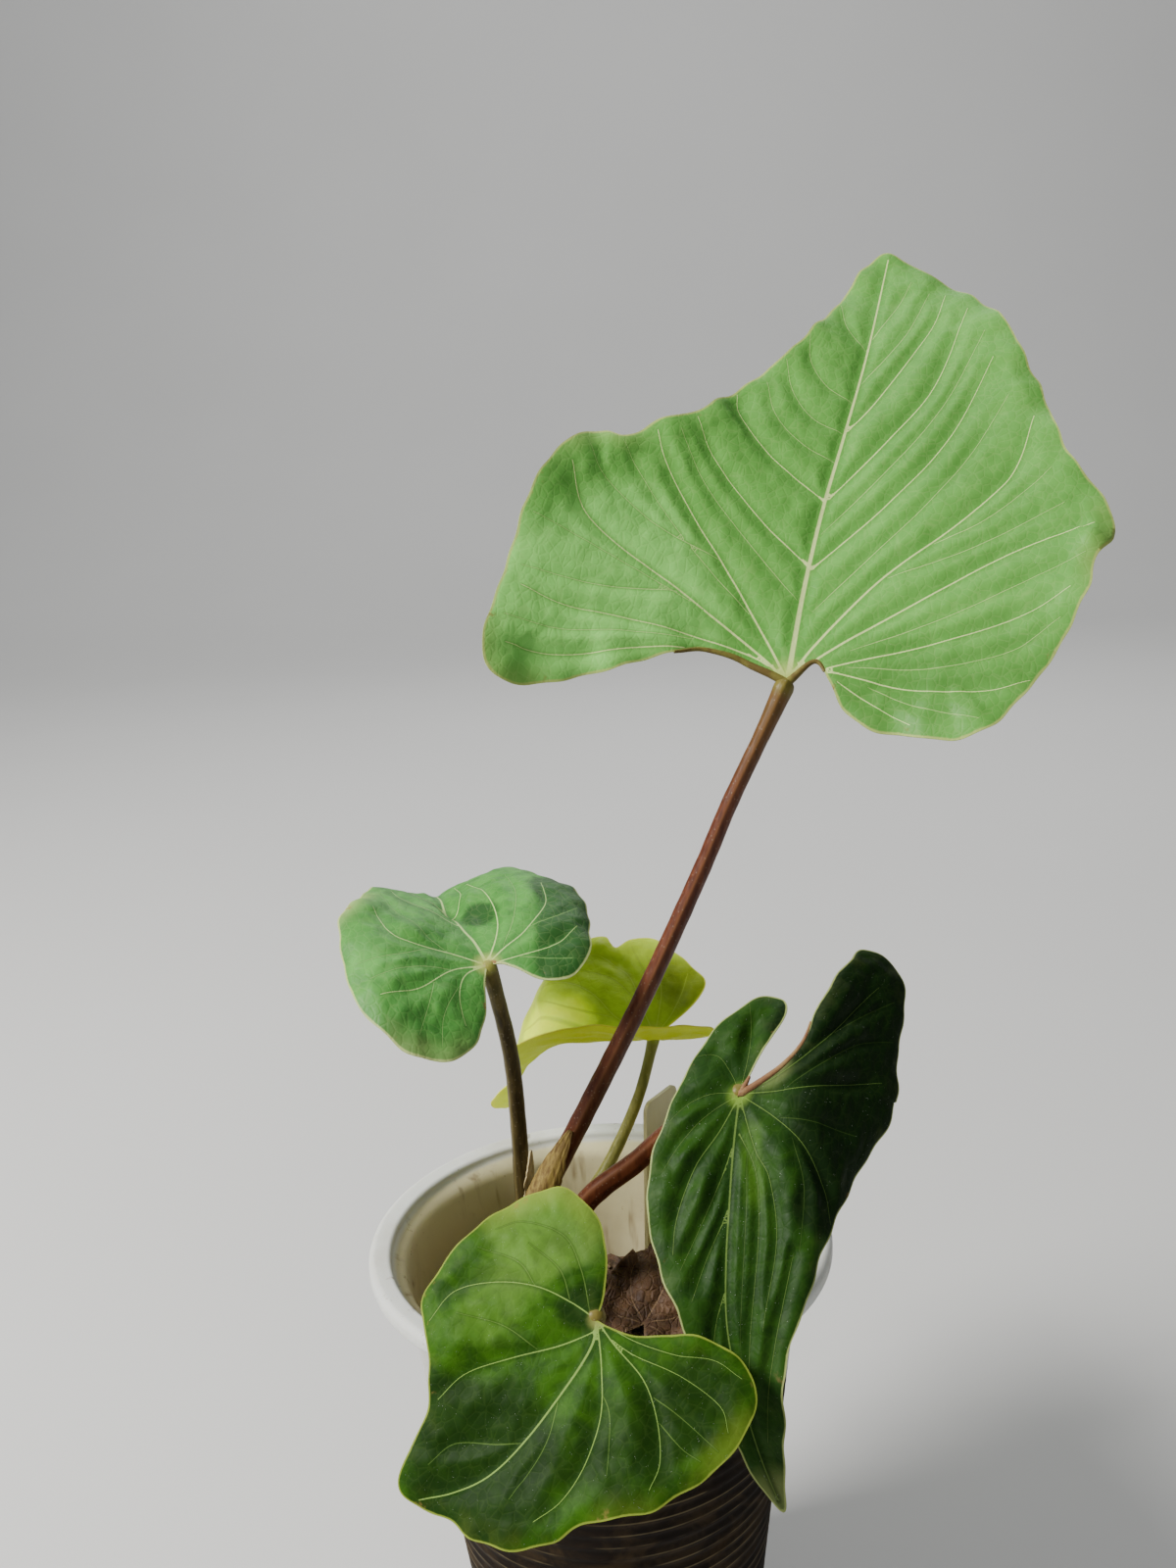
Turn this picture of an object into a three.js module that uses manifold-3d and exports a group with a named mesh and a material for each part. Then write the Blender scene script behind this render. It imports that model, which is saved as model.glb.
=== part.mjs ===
// Potted kunayala glow anthurium: a young aroid with five heart-shaped leaves in a clear plastic cup.
// Millimetres, +Z up. The pot stands on z = 0 with its axis on the z axis, and the viewer looks along +Y.
import * as THREE from 'three';
import * as BufferGeometryUtils from 'three/addons/utils/BufferGeometryUtils.js';
import Module from 'manifold-3d';

const wasm = await Module();
wasm.setup();

// Free space left wherever two separate pieces meet.
const GAP = 0.3;

// The tapered cup.
const POT_HEIGHT = 118;
const POT_RIM_RADIUS = 52.5;
const POT_LIP_INNER_RADIUS = 47.4;
const POT_LIP_DEPTH = 4;
const POT_NECK_RADIUS = 45.5;
const POT_FOOT_RADIUS = 31.5;
const POT_WALL = 1.4;
const POT_FLOOR = 2;
const POT_FLOOR_RADIUS = 28;
const POT_EDGE = 1;
const POT_SIDES = 32;
const POT_TURN = 0.05;
const RIB_FIRST_HEIGHT = 12;
const RIB_SPACING = 3.2;
const RIB_COUNT = 23;
const RIB_DEPTH = 0.4;

// The bark and peat mix, its surface about 32 mm under the rim.
const MIX_HEIGHT = 86;
const MIX_SIDES = 32;
const MIX_RINGS = 6;
const MIX_RELIEF = 1.3;

// The short crown that all leaf stalks rise from.
const CROWN_X = -14.3;
const CROWN_Y = 12.2;
const CROWN_FOOT = 70;
const CROWN_TOP = 105;
const CROWN_RADIUS = 9.5;
const CROWN_SIDES = 16;

const BLADE_THICKNESS = 0.7;
const SHEATH_THICKNESS = 0.7;

// The pattern of triangles on a blade, in parts of its cell: the rows' spacing, and the least room
// between an inner point and the margin.
const ROW_SPACING = 0.9;
const MARGIN_ROOM = 0.62;

const RADIANS = Math.PI / 180;

// Each leaf blade is drawn flat in millimetres: the first number runs across the blade (positive to the
// right when the tip points away and the upper face is seen), the second runs along it to the tip, and
// the stalk joins at (0, 0). The outline starts and ends at that point. Slope lists then bend the flat
// blade: pairs of distance in millimetres and slope in degrees, across each half and along the midrib.
const LEAVES = {
  large: {
    origin: [48.3, 20, 238.3],
    heading: 57.5,
    rise: 56.2,
    roll: 26.1,
    right: [[0, 6], [60, 13]],
    left: [[0, 6], [65, 22]],
    front: [[0, 0], [130, -21]],
    back: [[0, 0], [20, -3]],
    ripple: [11, 1.3, 0.4],
    cell: 6.6,
    knob: 2.7,
    outline: [
      [5, 6], [9, 2], [14, -4], [21, -7], [30, -7], [39, -6], [46, -1], [51, 8], [56, 19], [60, 33],
      [60.5, 41], [63.5, 46], [62.5, 53], [58, 60], [52, 66], [47, 78], [41, 93], [33, 108], [24, 120],
      [12, 127], [1, 132], [-5, 124], [-10, 106], [-17, 89], [-24, 76], [-31, 66], [-36, 59], [-44, 53],
      [-50, 46.5], [-55, 46.5], [-62, 40], [-67, 27], [-67, 12], [-68, -4], [-67, -14], [-60, -18],
      [-50, -14], [-38, -8], [-26, 0], [-17, 3], [-8, 2]],
  },
  left: {
    origin: [-21.6, 6, 181.1],
    heading: 112,
    rise: 28,
    roll: -8,
    right: [[0, 19], [12, 3], [30, -38]],
    left: [[0, 22], [14, 26], [22, 14], [32, -30]],
    front: [[0, 0], [60, -64]],
    back: [[0, 0], [20, -30]],
    ripple: [9, 0.6, 1.1],
    cell: 4,
    knob: 2.1,
    outline: [
      [3, -1], [5, -3], [9, -7.5], [13, -9.5], [18, -9], [22, -6], [26, 1], [29, 10], [29, 20], [25, 31],
      [18, 43], [9, 53], [0, 60], [-6, 55], [-12, 48], [-17, 41], [-20, 35], [-24, 27], [-29, 19],
      [-32, 11], [-33, 2], [-31, -8], [-26, -16], [-18, -19.5], [-11, -18.5], [-6, -14.5], [-3.5, -9],
      [-2, -4]],
  },
  young: {
    origin: [15.9, 34, 149.6],
    heading: 176.7,
    rise: -0.7,
    roll: -42,
    right: [[0, 4], [25, -14]],
    left: [[0, 60], [6, 80], [25, 84]],
    front: [[0, 4], [22, -8], [29, -56], [60, -80]],
    back: [[0, -4], [14, -5]],
    ripple: [8, 0.5, 0.2],
    cell: 4,
    knob: 1.7,
    outline: [
      [2, -3], [6, -8], [11, -12], [16, -13], [20, -9.5], [25, -5], [28.5, 0], [28.5, 5], [26.5, 9],
      [28, 10.5], [30, 12], [29.5, 17], [27, 24], [22, 32], [15, 40], [8, 47], [3.5, 53], [2, 60],
      [1, 66], [-1.5, 69], [-5, 67], [-8, 61], [-7, 55], [-4, 49], [-4, 44], [-7, 38], [-12, 31],
      [-16, 23], [-18, 13], [-18, 3], [-16, -7], [-13, -13], [-9, -14], [-5, -10], [-2.5, -5]],
  },
  right: {
    origin: [30.7, -23, 160.8],
    heading: -91.1,
    rise: -45.7,
    roll: 6.4,
    right: [[0, 12], [20, -14]],
    left: [[0, 12], [10, 4], [13, -8], [18, -42], [45, -40]],
    front: [[0, 0], [40, -8], [79, -34]],
    back: [[0, -4], [32, -25]],
    swayFront: [[0, 14], [40, 2], [79, -22]],
    swayBack: [[0, -16], [30, -22]],
    ripple: [10, 0.5, 0.9],
    cell: 4.2,
    knob: 2.2,
    outline: [
      [-3, -9], [-5.5, -17], [-4, -22], [1, -23], [7, -18], [11, -10], [14, 0], [16.5, 12], [16.5, 23],
      [14, 33], [10, 43], [6, 57], [3.5, 70], [0.5, 79.5], [-5, 66], [-10, 51], [-15, 41], [-21, 29],
      [-28, 18], [-35, 8], [-37, 0], [-36, -10], [-34, -22], [-30, -33], [-24, -37], [-18, -36],
      [-16, -31], [-14, -25], [-12, -16], [-11, -10], [-8, -5.5], [-5, -3]],
  },
  front: {
    origin: [-1.1, -50, 128.3],
    heading: -150.6,
    rise: -27.5,
    roll: -33.1,
    right: [[0, 10], [30, -12]],
    left: [[0, 10], [35, -8]],
    front: [[0, 0], [48, -24]],
    back: [[0, 0], [18, -8]],
    ripple: [9, 0.4, 0.5],
    cell: 4,
    knob: 2,
    outline: [
      [3, -5], [8, -10], [14, -13], [20, -13.5], [26, -11], [29, -4], [30.5, 5], [30, 16], [27, 23.5],
      [20, 27], [14, 32], [10, 38], [8, 45], [5, 48.5], [0, 48], [-6, 45], [-12, 43], [-18, 38.5],
      [-23, 32], [-25, 25.5], [-32, 14], [-35, 3], [-34, -6], [-31, -12.5], [-27, -15], [-20, -14],
      [-14, -10], [-8, -4], [-3, -1]],
  },
};

// Leaf stalks: points from the blade down into the crown, and radii at top and foot.
const STALKS = {
  large: {
    points: [[48, 20, 238.5], [42.9, 19, 228], [34.6, 18, 212], [27.4, 17, 196.5], [13.9, 15, 169.6],
      [-1.2, 13, 142], [-11.5, 12, 123.4], [-15.8, 11.2, 114], [-18.5, 9.5, 102]],
    radii: [1.75, 2.7],
  },
  left: {
    points: [[-21.6, 6.4, 180.8], [-20.5, 9, 174], [-18.2, 13, 155.3], [-17.9, 17, 133.3],
      [-18.1, 18.6, 118.3], [-17.6, 18.8, 101]],
    radii: [1.7, 2.1],
  },
  young: {
    points: [[15.8, 34, 149.2], [12.1, 33, 136.4], [7.9, 31, 127.1], [2.6, 28, 118.3], [-3.4, 23.6, 111],
      [-9.5, 17.5, 101]],
    radii: [1.3, 1.9],
  },
  right: {
    points: [[30.9, -21.6, 160.2], [29.5, -15, 157.5], [25, -9.5, 151.5], [18.3, -4, 144.5],
      [9.3, 2, 133.4], [-3.6, 6, 120.5], [-9.5, 9, 102]],
    radii: [1.9, 2.8],
  },
  front: {
    points: [[-1.4, -48.6, 128], [-2.2, -42, 127.6], [-4, -30, 125], [-8, -12, 116.5], [-12, 1, 107],
      [-13.5, 6, 99]],
    radii: [1.8, 2.4],
  },
};
const STALK_SEGMENTS = 14;
const STALK_SIDES = 10;
const STALK_FLAT = 0.18;

// Dry papery sheaths at the foot of two stalks: how far up the stalk they reach, counted from its foot.
const SHEATHS = {
  large: { from: 0.045, to: 0.25, spread: 100, facing: -125, flare: 0.9 },
  left: { from: 0.1, to: 0.36, spread: 75, facing: -30, flare: 0.7 },
};

// The withered leaf lying in the cup.
const DRY_LEAF = {
  origin: [9, 3, 90.5],
  heading: 62,
  rise: 12,
  roll: 18,
  right: [[0, 40], [5, -30], [9, 50], [13, -40], [20, 30]],
  left: [[0, 35], [6, -40], [10, 45], [16, -20]],
  front: [[0, 0], [8, 34], [16, -20], [30, 30]],
  back: [[0, 0], [10, -30]],
  ripple: [13, 1.6, 0.3],
  cell: 3,
  outline: [
    [4, -6], [9, -7], [13, -3], [15, 4], [14, 12], [10, 19], [6, 26], [0, 30], [-5, 25], [-10, 18],
    [-13, 10], [-13, 2], [-10, -5], [-5, -6]],
};

// The blank plastic tag pushed into the mix at the back.
const TAG_WIDTH = 16;
const TAG_THICKNESS = 0.9;
const TAG_HEIGHT = 96;
const TAG_POINT = 28;
const TAG_CORNER = 2.5;
const TAG_FOOT = [13, 25, 40];
const TAG_TURN = 59;
const TAG_LEAN = 4;

function vector(list) {
  return new THREE.Vector3(list[0], list[1], list[2]);
}

// Walks along a slope list: how far out, how far up, and the slope reached after the given distance.
function walk(slopes, distance) {
  const steps = 48;
  const step = distance / steps;
  let out = 0;
  let up = 0;
  for (let i = 0; i < steps; i += 1) {
    const slope = slopeAt(slopes, (i + 0.5) * step) * RADIANS;
    out += Math.cos(slope) * step;
    up += Math.sin(slope) * step;
  }
  return { out, up, slope: slopeAt(slopes, distance) * RADIANS };
}

function slopeAt(slopes, distance) {
  for (let i = 1; i < slopes.length; i += 1) {
    if (distance <= slopes[i][0]) {
      const [d0, s0] = slopes[i - 1];
      const [d1, s1] = slopes[i];
      return s0 + (s1 - s0) * (distance - d0) / (d1 - d0);
    }
  }
  return slopes[slopes.length - 1][1];
}

// Directions of a blade: tip along its heading and rise, then rolled about the tip direction.
function bladeFrame(leaf) {
  const heading = leaf.heading * RADIANS;
  const rise = leaf.rise * RADIANS;
  const roll = leaf.roll * RADIANS;
  const tip = new THREE.Vector3(
    Math.cos(heading) * Math.cos(rise), Math.sin(heading) * Math.cos(rise), Math.sin(rise));
  const side = new THREE.Vector3(Math.sin(heading), -Math.cos(heading), 0);
  const face = new THREE.Vector3().crossVectors(side, tip);
  const across = side.clone().multiplyScalar(Math.cos(roll)).addScaledVector(face, -Math.sin(roll));
  const normal = side.clone().multiplyScalar(Math.sin(roll)).addScaledVector(face, Math.cos(roll));
  return { tip, across, normal };
}

// Bends a flat blade point (u, v) into space, halfway through the blade's thickness.
function bladePoint(leaf, u, v) {
  const { tip, across, normal } = leaf.frame;
  const width = walk(u >= 0 ? leaf.right : leaf.left, Math.abs(u));
  const softFold = Math.abs(u) / (Math.abs(u) + 3);
  const lift = width.up * softFold;
  const along = walk(v >= 0 ? leaf.front : leaf.back, Math.abs(v));
  const slope = v >= 0 ? along.slope : -along.slope;
  const swayList = v >= 0 ? leaf.swayFront : leaf.swayBack;
  const sway = swayList ? walk(swayList, Math.abs(v)).up : 0;
  const x = (u >= 0 ? width.out : -width.out) + sway;
  const y = (v >= 0 ? along.out : -along.out) - lift * Math.sin(slope);
  const z = along.up + lift * Math.cos(slope);
  return vector(leaf.origin).addScaledVector(across, x).addScaledVector(tip, y).addScaledVector(normal, z);
}

function bladeNormal(leaf, u, v) {
  const reach = 0.4;
  const du = bladePoint(leaf, u + reach, v).sub(bladePoint(leaf, u - reach, v));
  const dv = bladePoint(leaf, u, v + reach).sub(bladePoint(leaf, u, v - reach));
  return du.cross(dv).normalize();
}

// The smooth outline as evenly spaced margin points, with one of them at the very tip.
function marginPoints(leaf) {
  const flat = [[0, 0], ...leaf.outline, [0, 0]].map(([u, v]) => new THREE.Vector3(u, v, 0));
  const curve = new THREE.CatmullRomCurve3(flat, false, 'catmullrom', 0.5);
  const fine = curve.getPoints(flat.length * 12);
  let tipIndex = 0;
  fine.forEach((point, i) => {
    if (point.y > fine[tipIndex].y) tipIndex = i;
  });
  const there = resample(fine.slice(0, tipIndex + 1), leaf.cell);
  const back = resample(fine.slice(tipIndex), leaf.cell);
  return [...there.slice(0, -1), ...back.slice(0, -1)];
}

function resample(points, spacing) {
  const reach = [0];
  for (let i = 1; i < points.length; i += 1) {
    reach.push(reach[i - 1] + points[i].distanceTo(points[i - 1]));
  }
  const length = reach[reach.length - 1];
  const count = Math.round(length / spacing);
  const result = [];
  let i = 1;
  for (let k = 0; k <= count; k += 1) {
    const wanted = length * k / count;
    while (i < points.length - 1 && reach[i] < wanted) i += 1;
    const part = (wanted - reach[i - 1]) / (reach[i] - reach[i - 1]);
    result.push(points[i - 1].clone().lerp(points[i], part));
  }
  return result;
}

function nearestMargin(margin, point) {
  let nearest = 0;
  margin.forEach((other, i) => {
    if (other.distanceTo(point) < margin[nearest].distanceTo(point)) nearest = i;
  });
  return { distance: margin[nearest].distanceTo(point), turn: nearest / margin.length };
}

function isInside(margin, point) {
  let inside = false;
  margin.forEach((p, i) => {
    const q = margin[(i + 1) % margin.length];
    const crosses = (p.y > point.y) !== (q.y > point.y);
    if (crosses && point.x < p.x + (q.x - p.x) * (point.y - p.y) / (q.y - p.y)) inside = !inside;
  });
  return inside;
}

// Rows of points half a cell apart from their neighbours' rows, wherever the blade has room for them.
function innerPoints(leaf, margin) {
  const points = [];
  const rowHeight = leaf.cell * ROW_SPACING;
  for (let row = -20; row < 40; row += 1) {
    for (let column = -20; column <= 20; column += 1) {
      const shift = row % 2 === 0 ? 0 : 0.5;
      const uneven = 0.03 * Math.sin(7 * row + 3 * column);
      const u = (column + shift + uneven) * leaf.cell;
      const v = (row + uneven) * rowHeight + leaf.cell / 2;
      const point = new THREE.Vector3(u, v, 0);
      const clearOfMargin = nearestMargin(margin, point).distance > MARGIN_ROOM * leaf.cell;
      if (clearOfMargin && isInside(margin, point)) points.push(point);
    }
  }
  return points;
}

// True when the circle through a triangle's corners holds the point.
function circleHolds(corners, point) {
  const [a, b, c] = corners.map((corner) => {
    const x = corner.x - point.x;
    const y = corner.y - point.y;
    return [x, y, x * x + y * y];
  });
  const turn = a[0] * (b[1] * c[2] - c[1] * b[2]) - a[1] * (b[0] * c[2] - c[0] * b[2])
    + a[2] * (b[0] * c[1] - c[0] * b[1]);
  return turn > 1e-9;
}

function edgesUsedOnce(triangles) {
  const edges = new Map();
  for (const [a, b, c] of triangles) {
    for (const [p, q] of [[a, b], [b, c], [c, a]]) {
      if (edges.has(`${q},${p}`)) edges.delete(`${q},${p}`);
      else edges.set(`${p},${q}`, [p, q]);
    }
  }
  return [...edges.values()];
}

// Even triangles over flat points: each new point clears the triangles whose circles hold it.
function evenTriangles(points, margin) {
  const far = 3000; // corners of a triangle far outside any blade
  const corners = [[-far, -far], [far, -far], [0, far]].map(([x, y]) => new THREE.Vector3(x, y, 0));
  const all = [...points, ...corners];
  const count = points.length;
  let triangles = [[count, count + 1, count + 2]];
  points.forEach((point, i) => {
    const cleared = triangles.filter((corner) => circleHolds(corner.map((k) => all[k]), point));
    triangles = triangles.filter((corner) => !cleared.includes(corner));
    for (const [p, q] of edgesUsedOnce(cleared)) triangles.push([p, q, i]);
  });
  return triangles.filter((corner) => {
    if (corner.some((k) => k >= count)) return false;
    const middle = new THREE.Vector3();
    corner.forEach((k) => middle.addScaledVector(all[k], 1 / 3));
    return isInside(margin, middle);
  });
}

// A blade as one closed sheet: both faces share one pattern of triangles, a thin wall follows the margin,
// and the margin ripples up and down a little.
function bladeGeometry(leaf, thickness) {
  leaf.frame = bladeFrame(leaf);
  const margin = marginPoints(leaf);
  const flat = [...margin, ...innerPoints(leaf, margin)];
  const faces = evenTriangles(flat, margin);
  const [rippleCount, rippleHeight, ripplePhase] = leaf.ripple;
  const rippleDepth = 3 * leaf.cell;
  const positions = [];
  for (const side of [1, -1]) {
    for (const point of flat) {
      const { distance, turn } = nearestMargin(margin, point);
      const nearStalk = Math.min(1, point.length() / 20);
      const fade = nearStalk * Math.max(0, 1 - distance / rippleDepth) ** 2;
      const ripple = rippleHeight * fade * Math.sin(2 * Math.PI * rippleCount * turn + ripplePhase);
      const normal = bladeNormal(leaf, point.x, point.y);
      const place = bladePoint(leaf, point.x, point.y);
      place.addScaledVector(normal, ripple + side * thickness / 2);
      positions.push(place.x, place.y, place.z);
    }
  }
  const triangles = [];
  const under = flat.length;
  for (const [a, b, c] of faces) {
    triangles.push(a, b, c);
    triangles.push(a + under, c + under, b + under);
  }
  for (const [p, q] of edgesUsedOnce(faces)) {
    triangles.push(p, p + under, q + under);
    triangles.push(p, q + under, q);
  }
  const geometry = new THREE.BufferGeometry();
  geometry.setAttribute('position', new THREE.Float32BufferAttribute(positions, 3));
  geometry.setIndex(triangles);
  return geometry;
}

// A stalk or other rod along a smooth line, closed at both ends, slightly flattened on one side.
function rodGeometry(points, radiusAt, segments, sides, flatten) {
  const curve = new THREE.CatmullRomCurve3(points.map(vector));
  const frames = curve.computeFrenetFrames(segments, false);
  const positions = [];
  const triangles = [];
  for (let i = 0; i <= segments; i += 1) {
    const t = i / segments;
    const centre = curve.getPointAt(t);
    for (let j = 0; j < sides; j += 1) {
      const angle = 2 * Math.PI * j / sides;
      const radius = radiusAt(t) * (1 - flatten * Math.max(0, Math.cos(angle)) ** 2);
      const point = centre.clone()
        .addScaledVector(frames.normals[i], radius * Math.cos(angle))
        .addScaledVector(frames.binormals[i], radius * Math.sin(angle));
      positions.push(point.x, point.y, point.z);
    }
  }
  for (let i = 0; i < segments; i += 1) {
    for (let j = 0; j < sides; j += 1) {
      const a = i * sides + j;
      const b = i * sides + (j + 1) % sides;
      triangles.push(a, b, b + sides, a, b + sides, a + sides);
    }
  }
  const start = positions.length / 3;
  for (const t of [0, 1]) {
    const centre = curve.getPointAt(t);
    positions.push(centre.x, centre.y, centre.z);
  }
  const last = segments * sides;
  for (let j = 0; j < sides; j += 1) {
    const next = (j + 1) % sides;
    triangles.push(start, next, j);
    triangles.push(start + 1, last + j, last + next);
  }
  const geometry = new THREE.BufferGeometry();
  geometry.setAttribute('position', new THREE.Float32BufferAttribute(positions, 3));
  geometry.setIndex(triangles);
  return geometry;
}

// A pointed papery sheath: a curved strip standing off the stalk and narrowing to its tip.
function sheathGeometry(stalk, sheath) {
  const rows = 8;
  const columns = 6;
  const curve = new THREE.CatmullRomCurve3(stalk.points.map(vector).reverse());
  const facing = sheath.facing * RADIANS;
  const outward = new THREE.Vector3(Math.cos(facing), Math.sin(facing), 0);
  const positions = [];
  const triangles = [];
  for (const side of [1, 0]) {
    for (let i = 0; i <= rows; i += 1) {
      const up = i / rows;
      const t = sheath.from + (sheath.to - sheath.from) * up;
      const centre = curve.getPointAt(t);
      const axis = curve.getTangentAt(t);
      const front = outward.clone().addScaledVector(axis, -outward.dot(axis)).normalize();
      const beside = new THREE.Vector3().crossVectors(axis, front);
      const stalkRadius = stalk.radii[1] + (stalk.radii[0] - stalk.radii[1]) * t;
      const clear = stalkRadius + GAP + sheath.flare * (1 - up) ** 2 + 0.25 * up ** 4;
      const radius = clear + side * SHEATH_THICKNESS;
      const spread = sheath.spread * RADIANS * (1 - 0.9 * up ** 1.6);
      for (let j = 0; j <= columns; j += 1) {
        const angle = spread * (2 * j / columns - 1);
        const point = centre.clone()
          .addScaledVector(front, radius * Math.cos(angle))
          .addScaledVector(beside, radius * Math.sin(angle));
        positions.push(point.x, point.y, point.z);
      }
    }
  }
  const layer = (rows + 1) * (columns + 1);
  const at = (i, j) => i * (columns + 1) + j;
  function wall(p, q) {
    triangles.push(p, p + layer, q + layer, p, q + layer, q);
  }
  for (let i = 0; i < rows; i += 1) {
    for (let j = 0; j < columns; j += 1) {
      const a = at(i, j);
      const b = at(i, j + 1);
      const c = at(i + 1, j + 1);
      const d = at(i + 1, j);
      triangles.push(a, b, c, a, c, d);
      triangles.push(a + layer, c + layer, b + layer, a + layer, d + layer, c + layer);
    }
    wall(at(i, columns), at(i + 1, columns));
    wall(at(i + 1, 0), at(i, 0));
  }
  for (let j = 0; j < columns; j += 1) {
    wall(at(0, j), at(0, j + 1));
    wall(at(rows, j + 1), at(rows, j));
  }
  const geometry = new THREE.BufferGeometry();
  geometry.setAttribute('position', new THREE.Float32BufferAttribute(positions, 3));
  geometry.setIndex(triangles);
  return geometry;
}

// Outer radius of the tapered wall, ribs aside, at a height.
function wallAt(z) {
  return POT_FOOT_RADIUS + (POT_NECK_RADIUS - POT_FOOT_RADIUS) * z / (POT_HEIGHT - POT_LIP_DEPTH);
}

// Outer wall, flat lip with a rounded edge, inner wall and a flat floor, turned about the axis.
function potProfile() {
  const points = [[0, 0], [POT_FOOT_RADIUS - POT_EDGE, 0], [POT_FOOT_RADIUS, POT_EDGE]];
  for (let i = 0; i < RIB_COUNT; i += 1) {
    const z = RIB_FIRST_HEIGHT + i * RIB_SPACING;
    points.push([wallAt(z), z], [wallAt(z + RIB_SPACING / 2) - RIB_DEPTH, z + RIB_SPACING / 2]);
  }
  const ribTop = RIB_FIRST_HEIGHT + RIB_COUNT * RIB_SPACING;
  points.push([wallAt(ribTop), ribTop]);
  const lipFoot = POT_HEIGHT - POT_LIP_DEPTH;
  points.push([POT_NECK_RADIUS, lipFoot], [POT_RIM_RADIUS - POT_EDGE, lipFoot]);
  points.push([POT_RIM_RADIUS, lipFoot + POT_EDGE], [POT_RIM_RADIUS, POT_HEIGHT - POT_EDGE]);
  points.push([POT_RIM_RADIUS - POT_EDGE, POT_HEIGHT], [POT_LIP_INNER_RADIUS + POT_EDGE, POT_HEIGHT]);
  points.push([POT_LIP_INNER_RADIUS, POT_HEIGHT - POT_EDGE]);
  points.push([POT_NECK_RADIUS, POT_HEIGHT - 1.25 * POT_LIP_DEPTH]);
  points.push([wallAt(POT_FLOOR) - POT_WALL, POT_FLOOR + POT_EDGE]);
  points.push([POT_FLOOR_RADIUS, POT_FLOOR], [0, POT_FLOOR]);
  return points.map(([radius, z]) => new THREE.Vector2(radius, z));
}

// The inside of the cup below the mix surface, a little smaller, with a lumpy top.
function mixGeometry() {
  const inner = (z) => wallAt(z) - POT_WALL - RIB_DEPTH - GAP;
  const footZ = POT_FLOOR + GAP;
  const shoulderZ = footZ + POT_EDGE + GAP;
  const rows = [];
  rows.push(() => [POT_FLOOR_RADIUS, footZ]);
  rows.push(() => [inner(POT_FLOOR), shoulderZ]);
  for (let i = 0; i < MIX_RINGS; i += 1) {
    const part = 1 - i / MIX_RINGS;
    rows.push((angle) => {
      const radius = inner(MIX_HEIGHT - MIX_RELIEF) * part;
      const x = radius * Math.cos(angle);
      const y = radius * Math.sin(angle);
      return [radius, MIX_HEIGHT + mixLump(x, y)];
    });
  }
  const positions = [];
  const triangles = [];
  for (const row of rows) {
    for (let j = 0; j < MIX_SIDES; j += 1) {
      const angle = 2 * Math.PI * j / MIX_SIDES;
      const [radius, z] = row(angle);
      positions.push(radius * Math.cos(angle), radius * Math.sin(angle), z);
    }
  }
  const foot = positions.length / 3;
  positions.push(0, 0, footZ, 0, 0, MIX_HEIGHT + mixLump(0, 0));
  for (let i = 0; i < rows.length - 1; i += 1) {
    for (let j = 0; j < MIX_SIDES; j += 1) {
      const a = i * MIX_SIDES + j;
      const b = i * MIX_SIDES + (j + 1) % MIX_SIDES;
      triangles.push(a, b, b + MIX_SIDES, a, b + MIX_SIDES, a + MIX_SIDES);
    }
  }
  const last = (rows.length - 1) * MIX_SIDES;
  for (let j = 0; j < MIX_SIDES; j += 1) {
    const next = (j + 1) % MIX_SIDES;
    triangles.push(foot, next, j);
    triangles.push(foot + 1, last + j, last + next);
  }
  const geometry = new THREE.BufferGeometry();
  geometry.setAttribute('position', new THREE.Float32BufferAttribute(positions, 3));
  geometry.setIndex(triangles);
  return geometry;
}

function mixLump(x, y) {
  const coarse = Math.sin(x * 0.31 + 1) * Math.cos(y * 0.27);
  const fine = Math.sin(x * 0.83 + y * 0.55) * Math.cos(y * 0.71 - x * 0.22);
  return MIX_RELIEF * (0.7 * coarse + 0.6 * fine);
}

// A squat crown with the rings left by fallen leaves. `grow` makes the slightly larger copy that
// cuts clear space into the pieces round it.
function crownGeometry(grow) {
  const height = CROWN_TOP - CROWN_FOOT;
  const shape = [[0, 0], [0.5, 0], [0.72, 0.12], [0.98, 0.3], [0.88, 0.42], [1, 0.52], [0.9, 0.62],
    [0.98, 0.74], [0.88, 0.88], [0.55, 0.97], [0, 1]];
  const profile = shape.map(([r, z], i) => {
    const onAxis = r === 0;
    const radius = onAxis ? 0 : r * CROWN_RADIUS + grow;
    const rise = i < 2 ? -grow : (i > shape.length - 4 ? grow : 0);
    return new THREE.Vector2(radius, CROWN_FOOT + z * height + rise);
  });
  return new THREE.LatheGeometry(profile, CROWN_SIDES).rotateX(Math.PI / 2).translate(CROWN_X, CROWN_Y, 0);
}

function tagGeometry(grow) {
  const half = TAG_WIDTH / 2 + grow;
  const corner = TAG_CORNER;
  const shape = new THREE.Shape();
  shape.moveTo(0, -3 * grow);
  shape.lineTo(half, TAG_POINT);
  shape.lineTo(half, TAG_HEIGHT - corner);
  shape.absarc(half - corner, TAG_HEIGHT - corner + grow, corner, 0, Math.PI / 2, false);
  shape.absarc(-half + corner, TAG_HEIGHT - corner + grow, corner, Math.PI / 2, Math.PI, false);
  shape.lineTo(-half, TAG_POINT);
  shape.closePath();
  const depth = TAG_THICKNESS + 2 * grow;
  const plate = new THREE.ExtrudeGeometry(shape, { depth, bevelEnabled: false, curveSegments: 4 });
  plate.translate(0, 0, -depth / 2);
  plate.rotateX(Math.PI / 2);
  plate.rotateY(TAG_LEAN * RADIANS);
  plate.rotateZ(TAG_TURN * RADIANS);
  return plate.translate(TAG_FOOT[0], TAG_FOOT[1], TAG_FOOT[2]);
}

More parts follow.
